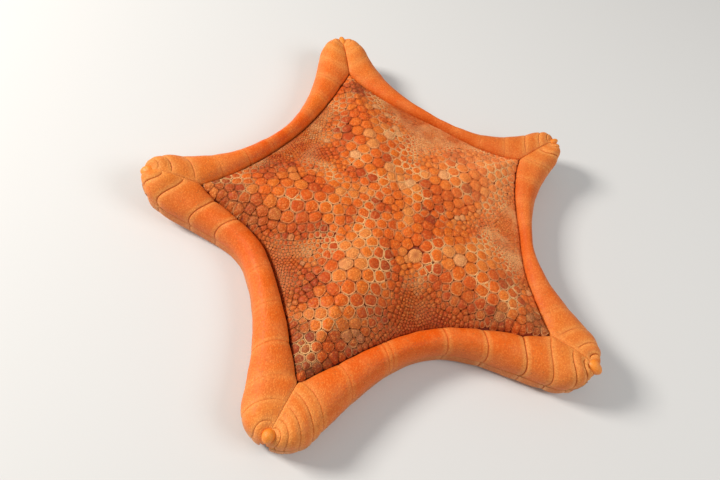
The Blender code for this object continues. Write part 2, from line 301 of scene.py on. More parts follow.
def furrow(x, y):
    """Depth of the furrows in the underside, 0 to 1."""
    deepest = np.zeros_like(x)
    for arm in ARMS:
        axis = heading(arm.bearing)
        aside = np.abs(y * axis.x - x * axis.y)
        depth = np.clip(FURROW_WALL * (1 - aside / FURROW_HALF), 0, 1) * (x * axis.x + y * axis.y > 0)
        deepest = np.maximum(deepest, depth)
    return deepest


@np.vectorize
def cloud(x, y, size):
    """Cloudy noise over the star's plan, about -1 to 1, in patches of that size."""
    return noise.noise(Vector((x, y, 0)) / size)


# Painted light and shade: how far, 0 to 1, the light falling on the star's right hand side is painted into
# its colours.
def painted_side_light(x, y):
    aside = x * math.cos(SIDE_LIGHT_BEARING) + y * math.sin(SIDE_LIGHT_BEARING)
    return np.clip((aside - SIDE_LIGHT_FROM) / (SIDE_LIGHT_TO - SIDE_LIGHT_FROM), 0, 1)


def markings_and_side_light(x, y):
    """The marks of skin and plates, 0 to 1: brown bays between the arms, plum patches at their tips, and
    painted light that makes the right hand side paler."""
    bay, plum = [np.sqrt(np.clip((field_share(x, y) - start) / (1 - start), 0, 1))
                 for start in (BAY_START, PLUM_START)]
    patches = np.clip(PLUM_SHARE + PLUM_CONTRAST * cloud(x, y, PLUM_PATCH), 0, 1)
    return {"bay": bay * at_edge("dark", x, y), "plum": plum * at_edge("plum", x, y) * patches,
            "pale": painted_side_light(x, y)}


def painted(colour):
    """A colour given as it looks, 0 to 255, in the linear numbers that a shader reads."""
    parts = [part / 255 for part in colour]
    return tuple(p / 12.92 if p < 0.04045 else ((p + 0.055) / 1.055) ** 2.4 for p in parts) + (1,)


def mixed(tree, factor, first, second):
    """The output of a colour mix. The colours are sockets or given as painted() takes them."""
    first, second = [colour if isinstance(colour, bpy.types.NodeSocket) else painted(colour)
                     for colour in (first, second)]
    return wire(tree, "ShaderNodeMix", {0: factor, 6: first, 7: second}, data_type="RGBA").outputs[2]


def worked(tree, operation, first, second):
    """The output of a Math node."""
    return wire(tree, "ShaderNodeMath", {0: first, 1: second}, operation=operation).outputs[0]


def spread(tree, value, low, high, least, most):
    """A value taken from the range low to high to the range least to most."""
    node = wire(tree, "ShaderNodeMapRange", {"Value": value, "From Min": low, "From Max": high,
                                             "To Min": least, "To Max": most})
    return node.outputs["Result"]


def mark(tree, name, strength=1):
    """The value of one of the piece's own marks, times a strength."""
    value = wire(tree, "ShaderNodeAttribute", attribute_name=name).outputs["Fac"]
    return worked(tree, "MULTIPLY", value, strength)


def stains_and_shading(tree, colour, *overlays):
    """A colour with stains, painted light and painted shade over it, each as strong as one of the piece's
    marks and a factor say.
    """
    for name, strength, overlay_colour in overlays:
        colour = mixed(tree, mark(tree, name, strength), colour, overlay_colour)
    return colour


def mottle(tree, size, detail=3.0):
    """Cloudy noise whose patches are about that size."""
    place = wire(tree, "ShaderNodeTexCoord").outputs["Object"]
    clouds = wire(tree, "ShaderNodeTexNoise", {"Vector": place, "Scale": 1 / size, "Detail": detail})
    return clouds.outputs["Fac"]


def grain_group():
    """Fine rounded grains, as cover the plates and the skin: their height and a tone for each grain."""
    group = bpy.data.node_groups.new("grains", "ShaderNodeTree")
    for name, way in (("Pitch", "INPUT"), ("Height", "OUTPUT"), ("Tone", "OUTPUT")):
        group.interface.new_socket(name, in_out=way, socket_type="NodeSocketFloat")
    pitch = wire(group, "NodeGroupInput").outputs["Pitch"]
    place = wire(group, "ShaderNodeTexCoord").outputs["Object"]
    scale = worked(group, "DIVIDE", 1.0, pitch)
    cells = wire(group, "ShaderNodeTexVoronoi", {"Vector": place, "Scale": scale, "Randomness": 0.8})
    height = spread(group, cells.outputs["Distance"], 0.1, 0.62, 1.0, 0.0)
    height.node.interpolation_type = "SMOOTHSTEP"
    tone = wire(group, "ShaderNodeSeparateColor", {"Color": cells.outputs["Color"]}).outputs["Red"]
    wire(group, "NodeGroupOutput", {"Height": height, "Tone": tone})
    return group


GRAINS = grain_group()


def grains(tree, pitch):
    return wire(tree, "ShaderNodeGroup", {"Pitch": pitch}, node_tree=GRAINS)


def shaded_hollows(tree, colour, covering, depth, overlay_colour):
    """Paints shade into the hollows between the grains."""
    hollows = worked(tree, "SUBTRACT", 1.0, covering.outputs["Height"])
    return mixed(tree, worked(tree, "MULTIPLY", hollows, depth), colour, overlay_colour)


def finish(tree, shader, colour, covering, depth):
    """Gives the shader its colour and the relief of its grains."""
    tree.links.new(colour, shader.inputs["Base Color"])
    relief = {"Height": covering.outputs["Height"], "Distance": depth, "Strength": 1.0}
    tree.links.new(wire(tree, "ShaderNodeBump", relief).outputs["Normal"], shader.inputs["Normal"])


def mesh_with(*names):
    """An empty mesh whose points can carry these marks."""
    bm = bmesh.new()
    for name in names:
        bm.verts.layers.float.new(name)
    return bm


def marked(bm, verts, marks):
    """Writes marks on points: for each name, one value for every point or one for all."""
    for name, values in marks.items():
        layer = bm.verts.layers.float.get(name) or bm.verts.layers.float.new(name)
        for vert, value in zip(verts, np.broadcast_to(values, len(verts))):
            vert[layer] = value


def laid_grid(name, columns, rows, rule):
    """A grid laid in space by a rule of u and v, 0 to 1, which gives places and marks, then sewn up."""
    bm = bmesh.new()
    bmesh.ops.create_grid(bm, x_segments=columns, y_segments=rows, size=0.5)
    grid = np.array([vert.co[:2] for vert in bm.verts]) + 0.5
    places, marks = rule(grid[:, 0], grid[:, 1])
    for vert, place in zip(bm.verts, places):
        vert.co = place
    marked(bm, bm.verts, marks)
    bmesh.ops.remove_doubles(bm, verts=bm.verts, dist=1e-6)
    ends = [edge for edge in bm.edges if edge.is_boundary]
    if ends:
        bmesh.ops.holes_fill(bm, edges=ends, sides=0)
    bmesh.ops.translate(bm, verts=bm.verts, vec=MIDDLE)
    bmesh.ops.recalc_face_normals(bm, faces=bm.faces)
    return new_object(name, bm)


def fitted(piece, material, slot, *nodes):
    """Gives a piece its material and its place in the model."""
    piece.data.materials.clear()
    piece.data.materials.append(material)
    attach(piece, "root")
    if nodes:
        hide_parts(*nodes)


def skin_rule(u, v):
    """v runs from the middle of the back out to the edge, under it, and in again to the mouth."""
    upper = v < 0.5
    out = np.where(upper, 2 * v, 2 - 2 * v) ** RING_CROWDING
    unit = np.stack([np.cos(2 * np.pi * u), np.sin(2 * np.pi * u)])
    tuck = TUCK + np.where(upper, 0, UNDER_TUCK * at_edge("closeness", *unit))
    x, y = unit * (at_edge("reach", *unit) + tuck) * out
    above = field_top(x, y) - COAT_DEPTH
    below = UNDERSIDE + (FURROW_TOP - UNDERSIDE) * furrow(x, y) + rise(x, y)
    return np.stack([x, y, np.where(upper, above, below)], axis=1), markings_and_side_light(x, y)


skin = laid_grid("skin", 5 * EDGE_STEPS, 2 * SKIN_RINGS + 1, skin_rule)
skin_paint, tree, shader = new_material("maroon_skin", 0.62)
skin_colour = mixed(tree, mottle(tree, 3 * MM), MAROON, RUST)
# The pale mark is painted light, which makes the right hand side paler.
skin_colour = stains_and_shading(tree, skin_colour, ("pale", 0.8, SIDE_LIT_SKIN), ("bay", 0.5, MAROON),
                      ("plum", 0.8, PLUM_SKIN))
finish(tree, shader, skin_colour, grains(tree, 0.3 * MM), 0.06 * MM)
fitted(skin, skin_paint, "skin", "disc", *["arm_" + arm.name for arm in ARMS])


# Mosaic. Hundreds of small limy plates set in the skin of the back, in rows beside each arm's axis: large and
# plump along the arms, small in the bays. Each is a closed tile with a raised rim and a dome, and the rims
# carry a ring of round grains.
CHANCE = random.Random(7)
PITCH_AT = (0, 15 * MM, 30 * MM, 45 * MM, 58 * MM)  # distance along an arm,
PITCH = (2.7 * MM, 3.5 * MM, 4.2 * MM, 3.1 * MM, 2.0 * MM)  # and the rows' spacing there
ALONG_PITCH = 1.06  # spacing along a row over that across the rows
OUTER_ROWS = 26
FINE_PITCH = 0.19  # the outermost rows, as a share of the middle one
FINE_ROW = 3.4  # row by which the spacing has dropped half way,
FINE_HASTE = 4.5  # and how suddenly
ROWS_START = 0.5 * MM  # from the star's middle
ROWS_IN_STEP = 30 * MM  # along an arm, where each row is half a plate out of step with the next
JITTER = 0.07
LEAST_CLEAR = 0.3  # least distance of a plate's middle from the field's edge, in spacings
TOO_CLOSE = 0.36
HOLE = 0.74  # a gap as wide as this, in spacings, gets a plate
HOLE_PITCH = 0.85
HOLE_STEP = 0.6 * MM
RELAX_STEP = 0.45 * MM
RELAX_ROUNDS = 6
SEAM = 0.06 * MM
EDGE_TUCK = 0.25 * MM  # how far the outermost tiles run in under the edge plates
EDGE_EVERY = 4  # steps of the edge from one line that trims the tiles to the next
EDGE_SLANT = 0.8  # distance from the edge over that along the way out, about
NEIGHBOURS_WITHIN = 2.2  # spacings of its middle can trim a tile,
EDGE_WITHIN = 1.2  # and so can the edge's lines within these
TILE_SIDES = 12
TILE_REACH = 0.72  # most that a tile reaches, as a share of the local spacing
SHORT_EDGE = 0.14  # sides shorter than this are merged,
CORNER_ROUND = 0.17  # and the corners rounded, as shares of the spacing
TILE_ROOT = 0.15 * MM  # how deep a tile sits in the skin
TILE_UNEVEN = 0.07 * MM
INFILL_SHARE = 0.3  # of the large plates have a small one at a corner
INFILL_FROM = 2.7 * MM
INFILL_SIZE = 0.55
SIEVE_BEARING = 313
SIEVE_DISTANCE = 16.6 * MM
SIEVE_RADIUS = 2.3 * MM
GRAIN_RADIUS = 0.16 * MM
GRAIN_SIZES = ((0.9 * MM, 1), (0.5 * MM, 0.82), (0, 0.68))  # on tiles larger than that: share of it
GRAIN_RISE = 0.05 * MM  # of a grain's middle above the rim
GRAIN_INSET = 0.7  # from a rim, in grain radii
GRAIN_FLAT = 0.8
GRAIN_SPREAD = (0.85, 1.12)  # of their sizes
GRAIN_SPACING = 2.1  # along a rim, in grain radii
FEWEST_GRAINS = 5  # on a rim
TONE_PATCH = 9 * MM  # size of the patches in which the plates are alike,
TONE_DEPTH = 0.55  # and how much the patches differ
TONE_SPREAD = 0.09
ODD_SHARE = 0.10
ODD_TONE = 0.32
Spot = namedtuple("Spot", "x y pitch")
Ring = namedtuple("Ring", "bearing reach normals tree")  # the edge of a field of plates
Cut = namedtuple("Cut", "inset rise rim")
# How a tile is built up from its root, for tiles of at least that radius: insets, rises and rim colour.
TILE_CUTS = (
    (0.95 * MM, (Cut(0.04, 0.64, 0.3), Cut(0.06, 0.10, 1.0), Cut(0.12, -0.03, 0.7), Cut(0.22, 0.12, 0.0),
                 Cut(0.30, 0.13, 0.0), Cut(0.35, 0.06, 0.0))),
    (0.50 * MM, (Cut(0.03, 0.52, 0.2), Cut(0.07, 0.10, 1.0), Cut(0.10, 0.0, 0.5), Cut(0.12, 0.13, 0.0),
                 Cut(0.15, 0.07, 0.0))),
    (0.16 * MM, (Cut(0.03, 0.44, 0.1), Cut(0.05, 0.08, 0.5), Cut(0.08, 0.06, 0.2))),
)
MOST_INSET = 0.6  # of a tile's radius, in one cut
MAP_MARGIN = 0.02  # of a bake map
MAP_CORNER = 0.01  # size of the corner that holds the hidden faces
MAP_CORNER_AT = 0.002
HIDDEN = -0.9  # faces whose normals point down at least so far
TONES = ((0.0, (168, 58, 22)), (0.2, (216, 84, 20)), (0.42, (248, 108, 20)), (0.6, (255, 130, 30)),
         (0.8, (255, 158, 74)), (1.0, (255, 188, 122)))
# Painted light: the plates are painted paler on the right hand side.
SIDE_LIT_PEACH = (255, 150, 82)
BAY_BROWN = (166, 68, 32)
PLUM = (124, 58, 48)
RIM_CREAM = (255, 204, 138)
# Painted shade in the hollows between the grains: red, and near black in the plum patches.
HOLLOW_SHADE_RED = (150, 48, 14)
HOLLOW_SHADE_BLACK = (48, 26, 16)
GRAIN_DARK = (170, 66, 22)
GRAIN_LIGHT = (255, 178, 96)


def pitch_at(along):
    return float(np.interp(along, PITCH_AT, PITCH))


def row_share(row):
    """Spacing of a row, counted out from the arm's axis, over that of the middle row."""
    return FINE_PITCH + (1 - FINE_PITCH) / (1 + (row / FINE_ROW) ** FINE_HASTE)


def nearest_arm(x, y):
    bearing = math.degrees(math.atan2(y, x))
    return min(range(len(ARMS)), key=lambda k: abs((ARMS[k].bearing - bearing + 180) % 360 - 180))


def spot_tree(spots):
    tree = kdtree.KDTree(len(spots))
    for index, spot in enumerate(spots):
        tree.insert((spot.x, spot.y, 0), index)
    tree.balance()
    return tree


def ring_of(edge):
    """An edge with the points along it that trim the outermost tiles, and the way out from each."""
    points = [heading(b) * r for b, r in zip(edge.bearing[::EDGE_EVERY], edge.reach[::EDGE_EVERY])]
    normals = []
    for index, point in enumerate(points):
        ahead = points[(index + 1) % len(points)] - points[index - 1]
        normals.append(Vector((ahead.y, -ahead.x, 0)).normalized())
    return Ring(edge.bearing, edge.reach, normals, spot_tree(points))


BACK_RING = ring_of(EDGE)


def clearance(x, y, ring=BACK_RING):
    """Distance in from the edge of the field, roughly."""
    return (at_edge("reach", x, y, ring) - math.hypot(x, y)) * EDGE_SLANT


def all_farther(x, y, others, least):
    return all(math.hypot(x - other.x, y - other.y) > least for other in others)


def loose(jitter):
    return Vector((CHANCE.uniform(-1, 1), CHANCE.uniform(-1, 1), 0)) * jitter


def marched_row(arm, turn, row, offset):
    """Spots for one row of plates, marched out and in beside an arm's axis."""
    axis, across = axes_of(arm)
    share = row_share(row)
    for way in (1, -1):
        along = ROWS_IN_STEP + (0.5 if row % 2 else 0) * pitch_at(ROWS_IN_STEP) * share
        if way < 0:
            along -= pitch_at(along) * share * ALONG_PITCH
        while ROWS_START < along < arm.reach:
            pitch = pitch_at(along) * share
            shift = loose(JITTER) * pitch
            place = axis * along + across * (turn * offset * pitch_at(along)) + shift
            yield Spot(place.x, place.y, pitch)
            along += way * pitch * ALONG_PITCH


def marched_spots():
    spots = []
    for number, arm in enumerate(ARMS):
        offset = 0
        for row in range(OUTER_ROWS):
            if row:
                offset += (row_share(row) + row_share(row - 1)) / 2
            for turn in (1, -1) if row else (1,):
                spots += [spot for spot in marched_row(arm, turn, row, offset)
                          if nearest_arm(*spot[:2]) == number
                          and clearance(*spot[:2]) > LEAST_CLEAR * spot.pitch]
    return spots


def thinned(spots):
    """Drops the smaller of any two that are too close together."""
    ordered = sorted(spots, key=lambda spot: -spot.pitch)
    tree = spot_tree(ordered)
    dropped = set()
    for index, spot in enumerate(ordered):
        if index not in dropped:
            for _, other, distance in tree.find_range((spot.x, spot.y, 0), 2 * TOO_CLOSE * spot.pitch):
                if other > index and distance < TOO_CLOSE * (spot.pitch + ordered[other].pitch):
                    dropped.add(other)
    return [spot for index, spot in enumerate(ordered) if index not in dropped]


def sampled_field(step, ring=BACK_RING):
    """Points all over the field, a step apart."""
    reach = EDGE.reach.max()
    line = np.arange(-reach, reach, step)
    x, y = [side.ravel() for side in np.meshgrid(line, line)]
    inside = np.hypot(x, y) < 0.99 * at_edge("reach", x, y, ring)
    return list(zip(x[inside], y[inside]))


def filled(spots, ring=BACK_RING):
    """Adds plates where the marching left a hole."""
    tree = spot_tree(spots)
    added = []
    for x, y in sampled_field(HOLE_STEP, ring):
        _, index, distance = tree.find((x, y, 0))
        pitch = spots[index].pitch
        if distance > HOLE * pitch and clearance(x, y, ring) > LEAST_CLEAR * pitch:
            if all_farther(x, y, added, HOLE * pitch):
                added.append(Spot(x, y, HOLE_PITCH * pitch))
    return spots + added


def relaxed(spots, rounds):
    """Moves each plate towards the middle of its share of the field."""
    samples = sampled_field(RELAX_STEP)
    for _ in range(rounds):
        tree = spot_tree(spots)
        sums = np.zeros((len(spots), 3))
        for x, y in samples:
            sums[tree.find((x, y, 0))[1]] += (x, y, 1)
        middles = sums[:, :2] / np.maximum(sums[:, 2:], 1)
        spots = [Spot((spot.x + middle[0]) / 2, (spot.y + middle[1]) / 2, spot.pitch) if count else spot
                 for spot, middle, count in zip(spots, middles, sums[:, 2])]
    return spots


def with_infill(spots):
    """Small plates where three large ones meet."""
    tree = spot_tree(spots)
    added = []
    for spot in spots:
        if spot.pitch > INFILL_FROM and CHANCE.random() < INFILL_SHARE:
            near = [Vector(place) for place, _, _ in tree.find_n((spot.x, spot.y, 0), 7)[1:]]
            first = CHANCE.choice(near)
            others = [place for place in near if place != first]
            second = min(others, key=lambda place: (place - first).length)
            place = (first + second + Vector((spot.x, spot.y, 0))) / 3
            if all_farther(place.x, place.y, added, spot.pitch):
                added.append(Spot(place.x, place.y, INFILL_SIZE * spot.pitch))
    return spots + added


def cut_off(bm, place, outward):
    """Cuts off what lies beyond a line across the tile."""
    everything = bm.verts[:] + bm.edges[:] + bm.faces[:]
    bmesh.ops.bisect_plane(bm, geom=everything, plane_co=place, plane_no=outward, clear_outer=True)


def tile_outline(index, spots, tree, ring):
    """The outline of a tile: a disc, cut half way to each neighbour and at the field's edge."""
    spot = spots[index]
    middle = Vector((spot.x, spot.y, 0))
    bm = bmesh.new()
    bmesh.ops.create_circle(bm, cap_ends=True, segments=TILE_SIDES, radius=TILE_REACH * spot.pitch)
    bmesh.ops.translate(bm, verts=bm.verts, vec=middle)
    for place, other, distance in tree.find_range(middle, NEIGHBOURS_WITHIN * spot.pitch):
        if other != index:
            apart = place - middle
            share = 0.5 + (spot.pitch ** 2 - spots[other].pitch ** 2) / (8 * distance ** 2)
            cut_off(bm, middle + apart * share - apart.normalized() * SEAM / 2, apart)
    for place, line, _ in ring.tree.find_range(middle, EDGE_WITHIN * spot.pitch):
        outward = ring.normals[line]
        cut_off(bm, place + outward * EDGE_TUCK, outward)
    outline = []
    if bm.faces:
        bmesh.ops.remove_doubles(bm, verts=bm.verts, dist=SHORT_EDGE * spot.pitch)
        bmesh.ops.bevel(bm, geom=bm.verts[:], offset=CORNER_ROUND * spot.pitch, segments=2, profile=0.5,
                        affect="VERTICES", clamp_overlap=True, material=-1)
        outline = [loop.vert.co.copy() for face in bm.faces for loop in face.loops]
    bm.free()
    return outline


def plate_tone(place):
    """Tone of a plate, 0 to 1: alike over a patch of them, with the odd one paler or darker."""
    patch = noise.noise(Vector(place) / TONE_PATCH)
    odd = CHANCE.choice((-1, 1)) * ODD_TONE if CHANCE.random() < ODD_SHARE else 0
    return min(max(0.5 + TONE_DEPTH * patch + CHANCE.gauss(0, TONE_SPREAD) + odd, 0), 1)


def raised_tiles(bm, cuts):
    """Builds up the flat tiles of a mesh into closed, domed ones, each ring drawn in towards the middle."""
    rim = bm.verts.layers.float["rim"]
    tops = bm.faces[:]
    roots = bmesh.ops.duplicate(bm, geom=bm.verts[:] + bm.edges[:] + tops)["geom"]
    bmesh.ops.reverse_faces(bm, faces=[item for item in roots if isinstance(item, bmesh.types.BMFace)])
    for cut in cuts:
        bmesh.ops.inset_individual(bm, faces=tops, thickness=0, depth=0)
        up = Vector((0, 0, cut.rise * MM))
        for face in tops:
            middle = face.calc_center_median()
            radius = sum((vert.co - middle).length for vert in face.verts) / len(face.verts)
            for vert in face.verts:
                vert.co = vert.co.lerp(middle, min(cut.inset * MM / radius, MOST_INSET)) + up
                vert[rim] = cut.rim
    bmesh.ops.remove_doubles(bm, verts=bm.verts, dist=1e-7)


def read(items, name, width=1, kind=float):
    """A property of all the items of a mesh, as an array."""
    found = np.empty(len(items) * width, kind)
    items.foreach_get(name, found)
    return found.reshape(-1, width).squeeze()


def on_plan(piece, up=1):
    """A bake map: the piece's own plan, with the faces of its tiles that lie on the skin in a corner."""
    mesh = piece.data
    plan = read(mesh.vertices, "co", 3)[read(mesh.loops, "vertex_index", kind=int), :2]
    low = plan.min(axis=0)
    plan = MAP_MARGIN + (1 - 2 * MAP_MARGIN) * (plan - low) / (plan.max(axis=0) - low).max()
    facing = up * read(mesh.polygons, "normal", 3)[:, 2]
    hidden = np.repeat(facing < HIDDEN, read(mesh.polygons, "loop_total", kind=int))
    plan[hidden] = MAP_CORNER_AT + MAP_CORNER * plan[hidden]
    mesh.uv_layers.new(name="OFBake").data.foreach_set("uv", plan.ravel())


def laid_on(piece, height_at):
    """Lifts a flat piece onto a surface and into the star's place."""
    places = read(piece.data.vertices, "co", 3)
    places[:, 2] += height_at(places[:, 0], places[:, 1])
    places[:, :2] += MIDDLE[:2]
    piece.data.vertices.foreach_set("co", places.ravel())
    piece.data.update()


def grain_scatter():
    """Sets a small faceted ball on every point of a mesh, of the size that the point carries."""
    group = bpy.data.node_groups.new("grain scatter", "GeometryNodeTree")
    group.interface.new_socket("Points", in_out="INPUT", socket_type="NodeSocketGeometry")
    group.interface.new_socket("Grains", in_out="OUTPUT", socket_type="NodeSocketGeometry")
    points = wire(group, "NodeGroupInput").outputs["Points"]
    ball = wire(group, "GeometryNodeMeshIcoSphere", {"Radius": 1.0, "Subdivisions": 1}).outputs["Mesh"]
    size = wire(group, "GeometryNodeInputNamedAttribute", {"Name": "size"}, data_type="FLOAT_VECTOR")
    balls = wire(group, "GeometryNodeInstanceOnPoints",
                 {"Points": points, "Instance": ball, "Scale": size.outputs["Attribute"]})
    joined = wire(group, "GeometryNodeRealizeInstances", {"Geometry": balls.outputs["Instances"]})
    wire(group, "NodeGroupOutput", {"Grains": joined.outputs["Geometry"]})
    return group


SCATTER = grain_scatter()


def scattered(name, grains_at):
    """A joined mesh of grains, from (place, size, marks) for each."""
    bm = mesh_with(*grains_at[0][2])
    layer = bm.verts.layers.float_vector.new("size")
    verts = [bm.verts.new(place) for place, _, _ in grains_at]
    for vert, (_, size, _) in zip(verts, grains_at):
        vert[layer] = size
    marked(bm, verts, {key: [marks[key] for _, _, marks in grains_at] for key in grains_at[0][2]})
    points = new_object(name + "_points", bm)
    points.modifiers.new("grains", "NODES").node_group = SCATTER
    evaluated = points.evaluated_get(bpy.context.evaluated_depsgraph_get())
    mesh = bpy.data.meshes.new_from_object(evaluated)
    bpy.data.objects.remove(points)
    mesh.name = name
    return placed(name, mesh)


def rim_grains(outline, height, radius, marks):
    """A ring of grains along the rim of a tile."""
    middle = sum(outline, Vector()) / len(outline)
    line = outline + outline[:1]
    length = sum((b - a).length for a, b in zip(line, line[1:])) - 2 * math.pi * radius
    count = max(FEWEST_GRAINS, round(length / (GRAIN_SPACING * radius)))
    for point in along_line(line, (np.arange(count) + 0.5) / count):
        place = Vector((*point, height))
        inward = (middle - place) * Vector((1, 1, 0))
        size = radius * CHANCE.uniform(*GRAIN_SPREAD)
        yield place + inward.normalized() * radius * GRAIN_INSET, (size, size, size * GRAIN_FLAT), marks


def tiled(name, numbers, spots, cut_list, ring=BACK_RING, coarseness=1):
    """The tiles of these spots as one mesh per size of tile, joined, and the grains on their rims."""
    tree = spot_tree(spots)
    grains_at = []
    batches = {smallest: mesh_with("tone", "bay", "plum", "pale", "rim") for smallest, _ in cut_list}
    for index in numbers:
        outline = tile_outline(index, spots, tree, ring)
        if len(outline) < 3:
            continue
        middle = sum(outline, Vector()) / len(outline)
        radius = min((point - middle).length for point in outline)
        marks = {"tone": plate_tone(middle)}
        uneven = CHANCE.uniform(-1, 1) * TILE_UNEVEN
        fitting = [(smallest, cuts) for smallest, cuts in cut_list if radius >= smallest]
        if not fitting:
            continue
        smallest, cuts = fitting[0]
        marks.update(markings_and_side_light(middle.x, middle.y))
        verts = [batches[smallest].verts.new((point.x, point.y, uneven)) for point in outline]
        marked(batches[smallest], verts, {**marks, "rim": 0})
        batches[smallest].faces.new(verts)
        height = uneven + (cuts[0].rise + cuts[1].rise) * MM + GRAIN_RISE
        grain = coarseness * GRAIN_RADIUS * next(share for least, share in GRAIN_SIZES if radius > least)
        grains_at += rim_grains(outline, height, grain, {**marks, "rim": 1.0})
    whole = bmesh.new()
    stock = bpy.data.meshes.new(name)
    for (_, cuts), bm in zip(cut_list, batches.values()):
        raised_tiles(bm, cuts)
        bm.to_mesh(stock)
        bm.free()
        whole.from_mesh(stock)
    return new_object(name, whole), grains_at


def toned(tree, factor, tones):
    """The output of a colour ramp through these tones."""
    node = wire(tree, "ShaderNodeValToRGB", {"Fac": factor})
    ramp = node.color_ramp.elements
    for place, _ in tones[1:-1]:
        ramp.new(place)
    for index, (place, colour) in enumerate(tones):
        ramp[index].position = place
        ramp[index].color = painted(colour)
    return node.outputs["Color"]


def grained(tree, colour, covering, dark, light, strength):
    """Makes some grains darker and some lighter."""
    for tone, end in ((dark, 0.0), (light, 1.0)):
        colour = mixed(tree, spread(tree, covering.outputs["Tone"], 0.5, end, 0.0, strength), colour, tone)
    return colour


mosaic_paint, tree, shader = new_material("mosaic_plates", 0.5, 0.15)
covering = grains(tree, 0.5 * MM)
plate_colour = toned(tree, mark(tree, "tone"), TONES)
# The pale mark is painted light, which makes the right hand side paler.
plate_colour = stains_and_shading(tree, plate_colour, ("pale", 0.65, SIDE_LIT_PEACH), ("plum", 0.8, PLUM),
                       ("bay", 0.7, BAY_BROWN))
plate_colour = grained(tree, plate_colour, covering, GRAIN_DARK, GRAIN_LIGHT, 0.3)
# Painted shade in the hollows between the grains, less where the side is painted paler, darker in the plum
# patches.
hollow_shade_depth = worked(tree, "SUBTRACT", 0.45, mark(tree, "pale", 0.3))
hollow_shade_colour = mixed(tree, mark(tree, "plum"), HOLLOW_SHADE_RED, HOLLOW_SHADE_BLACK)
plate_colour = shaded_hollows(tree, plate_colour, covering, hollow_shade_depth, hollow_shade_colour)
patchy = spread(tree, mottle(tree, 9 * MM, 2.0), 0.42, 0.62, 0.05, 0.95)
faded = worked(tree, "MULTIPLY", patchy, worked(tree, "SUBTRACT", 1.0, mark(tree, "bay", 0.85)))
plate_colour = mixed(tree, worked(tree, "MULTIPLY", mark(tree, "rim"), faded), plate_colour, RIM_CREAM)
finish(tree, shader, plate_colour, covering, 0.12 * MM)

sieve = heading(SIEVE_BEARING) * SIEVE_DISTANCE
spots = with_infill(relaxed(filled(thinned(marched_spots())), RELAX_ROUNDS))
spots = [spot for spot in spots if all_farther(spot.x, spot.y, [sieve], SIEVE_RADIUS)]
spots.append(Spot(sieve.x, sieve.y, 2 * SIEVE_RADIUS))


def tile_height(x, y):
    return field_top(x, y) - COAT_DEPTH - TILE_ROOT


for number, arm in enumerate(ARMS):
    own = [index for index, spot in enumerate(spots[:-1]) if nearest_arm(spot.x, spot.y) == number]
    tiles, grains_at = tiled("mosaic_" + arm.name, own, spots, TILE_CUTS)
    rims = scattered("rim_grains_" + arm.name, grains_at)
    for piece in (tiles, rims):
        laid_on(piece, tile_height)
        on_plan(piece)
        fitted(piece, mosaic_paint, "skin")


# Sieve plate. A round limy button in the front bay, through which the star takes in water. It is pale and
# domed, and furrows wind out from its middle.
SIEVE_STEPS = 120
SIEVE_RINGS = 36
SIEVE_TOP_SHARE = 0.7  # of the rings are on its top
SIEVE_CLEAR = 0.1 * MM
SIEVE_DEEP = 1.3 * MM
SIEVE_DOME = 0.75 * MM
SIEVE_SUNK = 0.25 * MM
SIEVE_FURROW = 0.2 * MM
SIEVE_FURROWS = 15
SIEVE_WIND = 4.0
SIEVE_WIND_SIZE = 1.4 * MM
SIEVE_FURROW_EDGE = 0.6  # the lower, the narrower the furrows
SIEVE_BARE = 0.4  # share of the way out by which they are at their full depth


def sieve_rule(u, v):
    """v runs from the middle of the top out to the rim, down and in again below."""
    angle = 2 * math.pi * u
    upper = v < SIEVE_TOP_SHARE
    out = np.where(upper, v / SIEVE_TOP_SHARE, (1 - v) / (1 - SIEVE_TOP_SHARE))
    reach = (SIEVE_RADIUS - SIEVE_CLEAR) * np.where(upper, np.sin(out * math.pi / 2), out)
    x = sieve.x + reach * np.cos(angle)
    y = sieve.y + reach * np.sin(angle)
    winding = SIEVE_WIND * cloud(x, y, SIEVE_WIND_SIZE)
    groove = np.abs(np.sin(SIEVE_FURROWS * angle / 2 + winding)) ** SIEVE_FURROW_EDGE
    groove = np.where(upper, groove * np.clip(out / SIEVE_BARE, 0, 1), 0)
    dome = SIEVE_DOME * np.cos(out * math.pi / 2) - SIEVE_SUNK
    height = field_top(x, y) + np.where(upper, dome + SIEVE_FURROW * (groove - 1), -SIEVE_DEEP)
    return np.stack([x, y, height], axis=1), {"furrow": 1 - groove}


sieve_plate = laid_grid("sieve_plate", SIEVE_STEPS, SIEVE_RINGS, sieve_rule)
sieve_paint, tree, shader = new_material("pale_sieve_plate", 0.55, 0.15)
sieve_colour = mixed(tree, mottle(tree, 1.5 * MM), (240, 164, 92), (226, 138, 70))
# Painted shade: the furrows are painted darker.
sieve_colour = stains_and_shading(tree, sieve_colour, ("furrow", 0.8, (168, 78, 36)))
finish(tree, shader, sieve_colour, grains(tree, 0.3 * MM), 0.05 * MM)
fitted(sieve_plate, sieve_paint, "sieve_plate", "madreporite")


# Upper edge plates. Big swollen plates of lime, one row along the top of each side from tip to tip, covered
# with fine grains. The seams between them are narrow creases, deep and bowed at the tips, faint between.
OUTER_FLARE = 17  # degrees that an arm's edge opens from its axis
TIP_STEPS = 12
HALF_SAMPLES = 200  # by which half a side is measured
ROW_SPLIT = 4.6 * MM  # height of the joint between the upper and the lower row
TIP_DROP = 3 * MM
TIP_DROP_SHARE = 0.2
KNOB_NOTCH_HALF = 0.5 * MM
FURROW_MOUTH = 0.12  # how wide a furrow is open at its end, as a share of its width
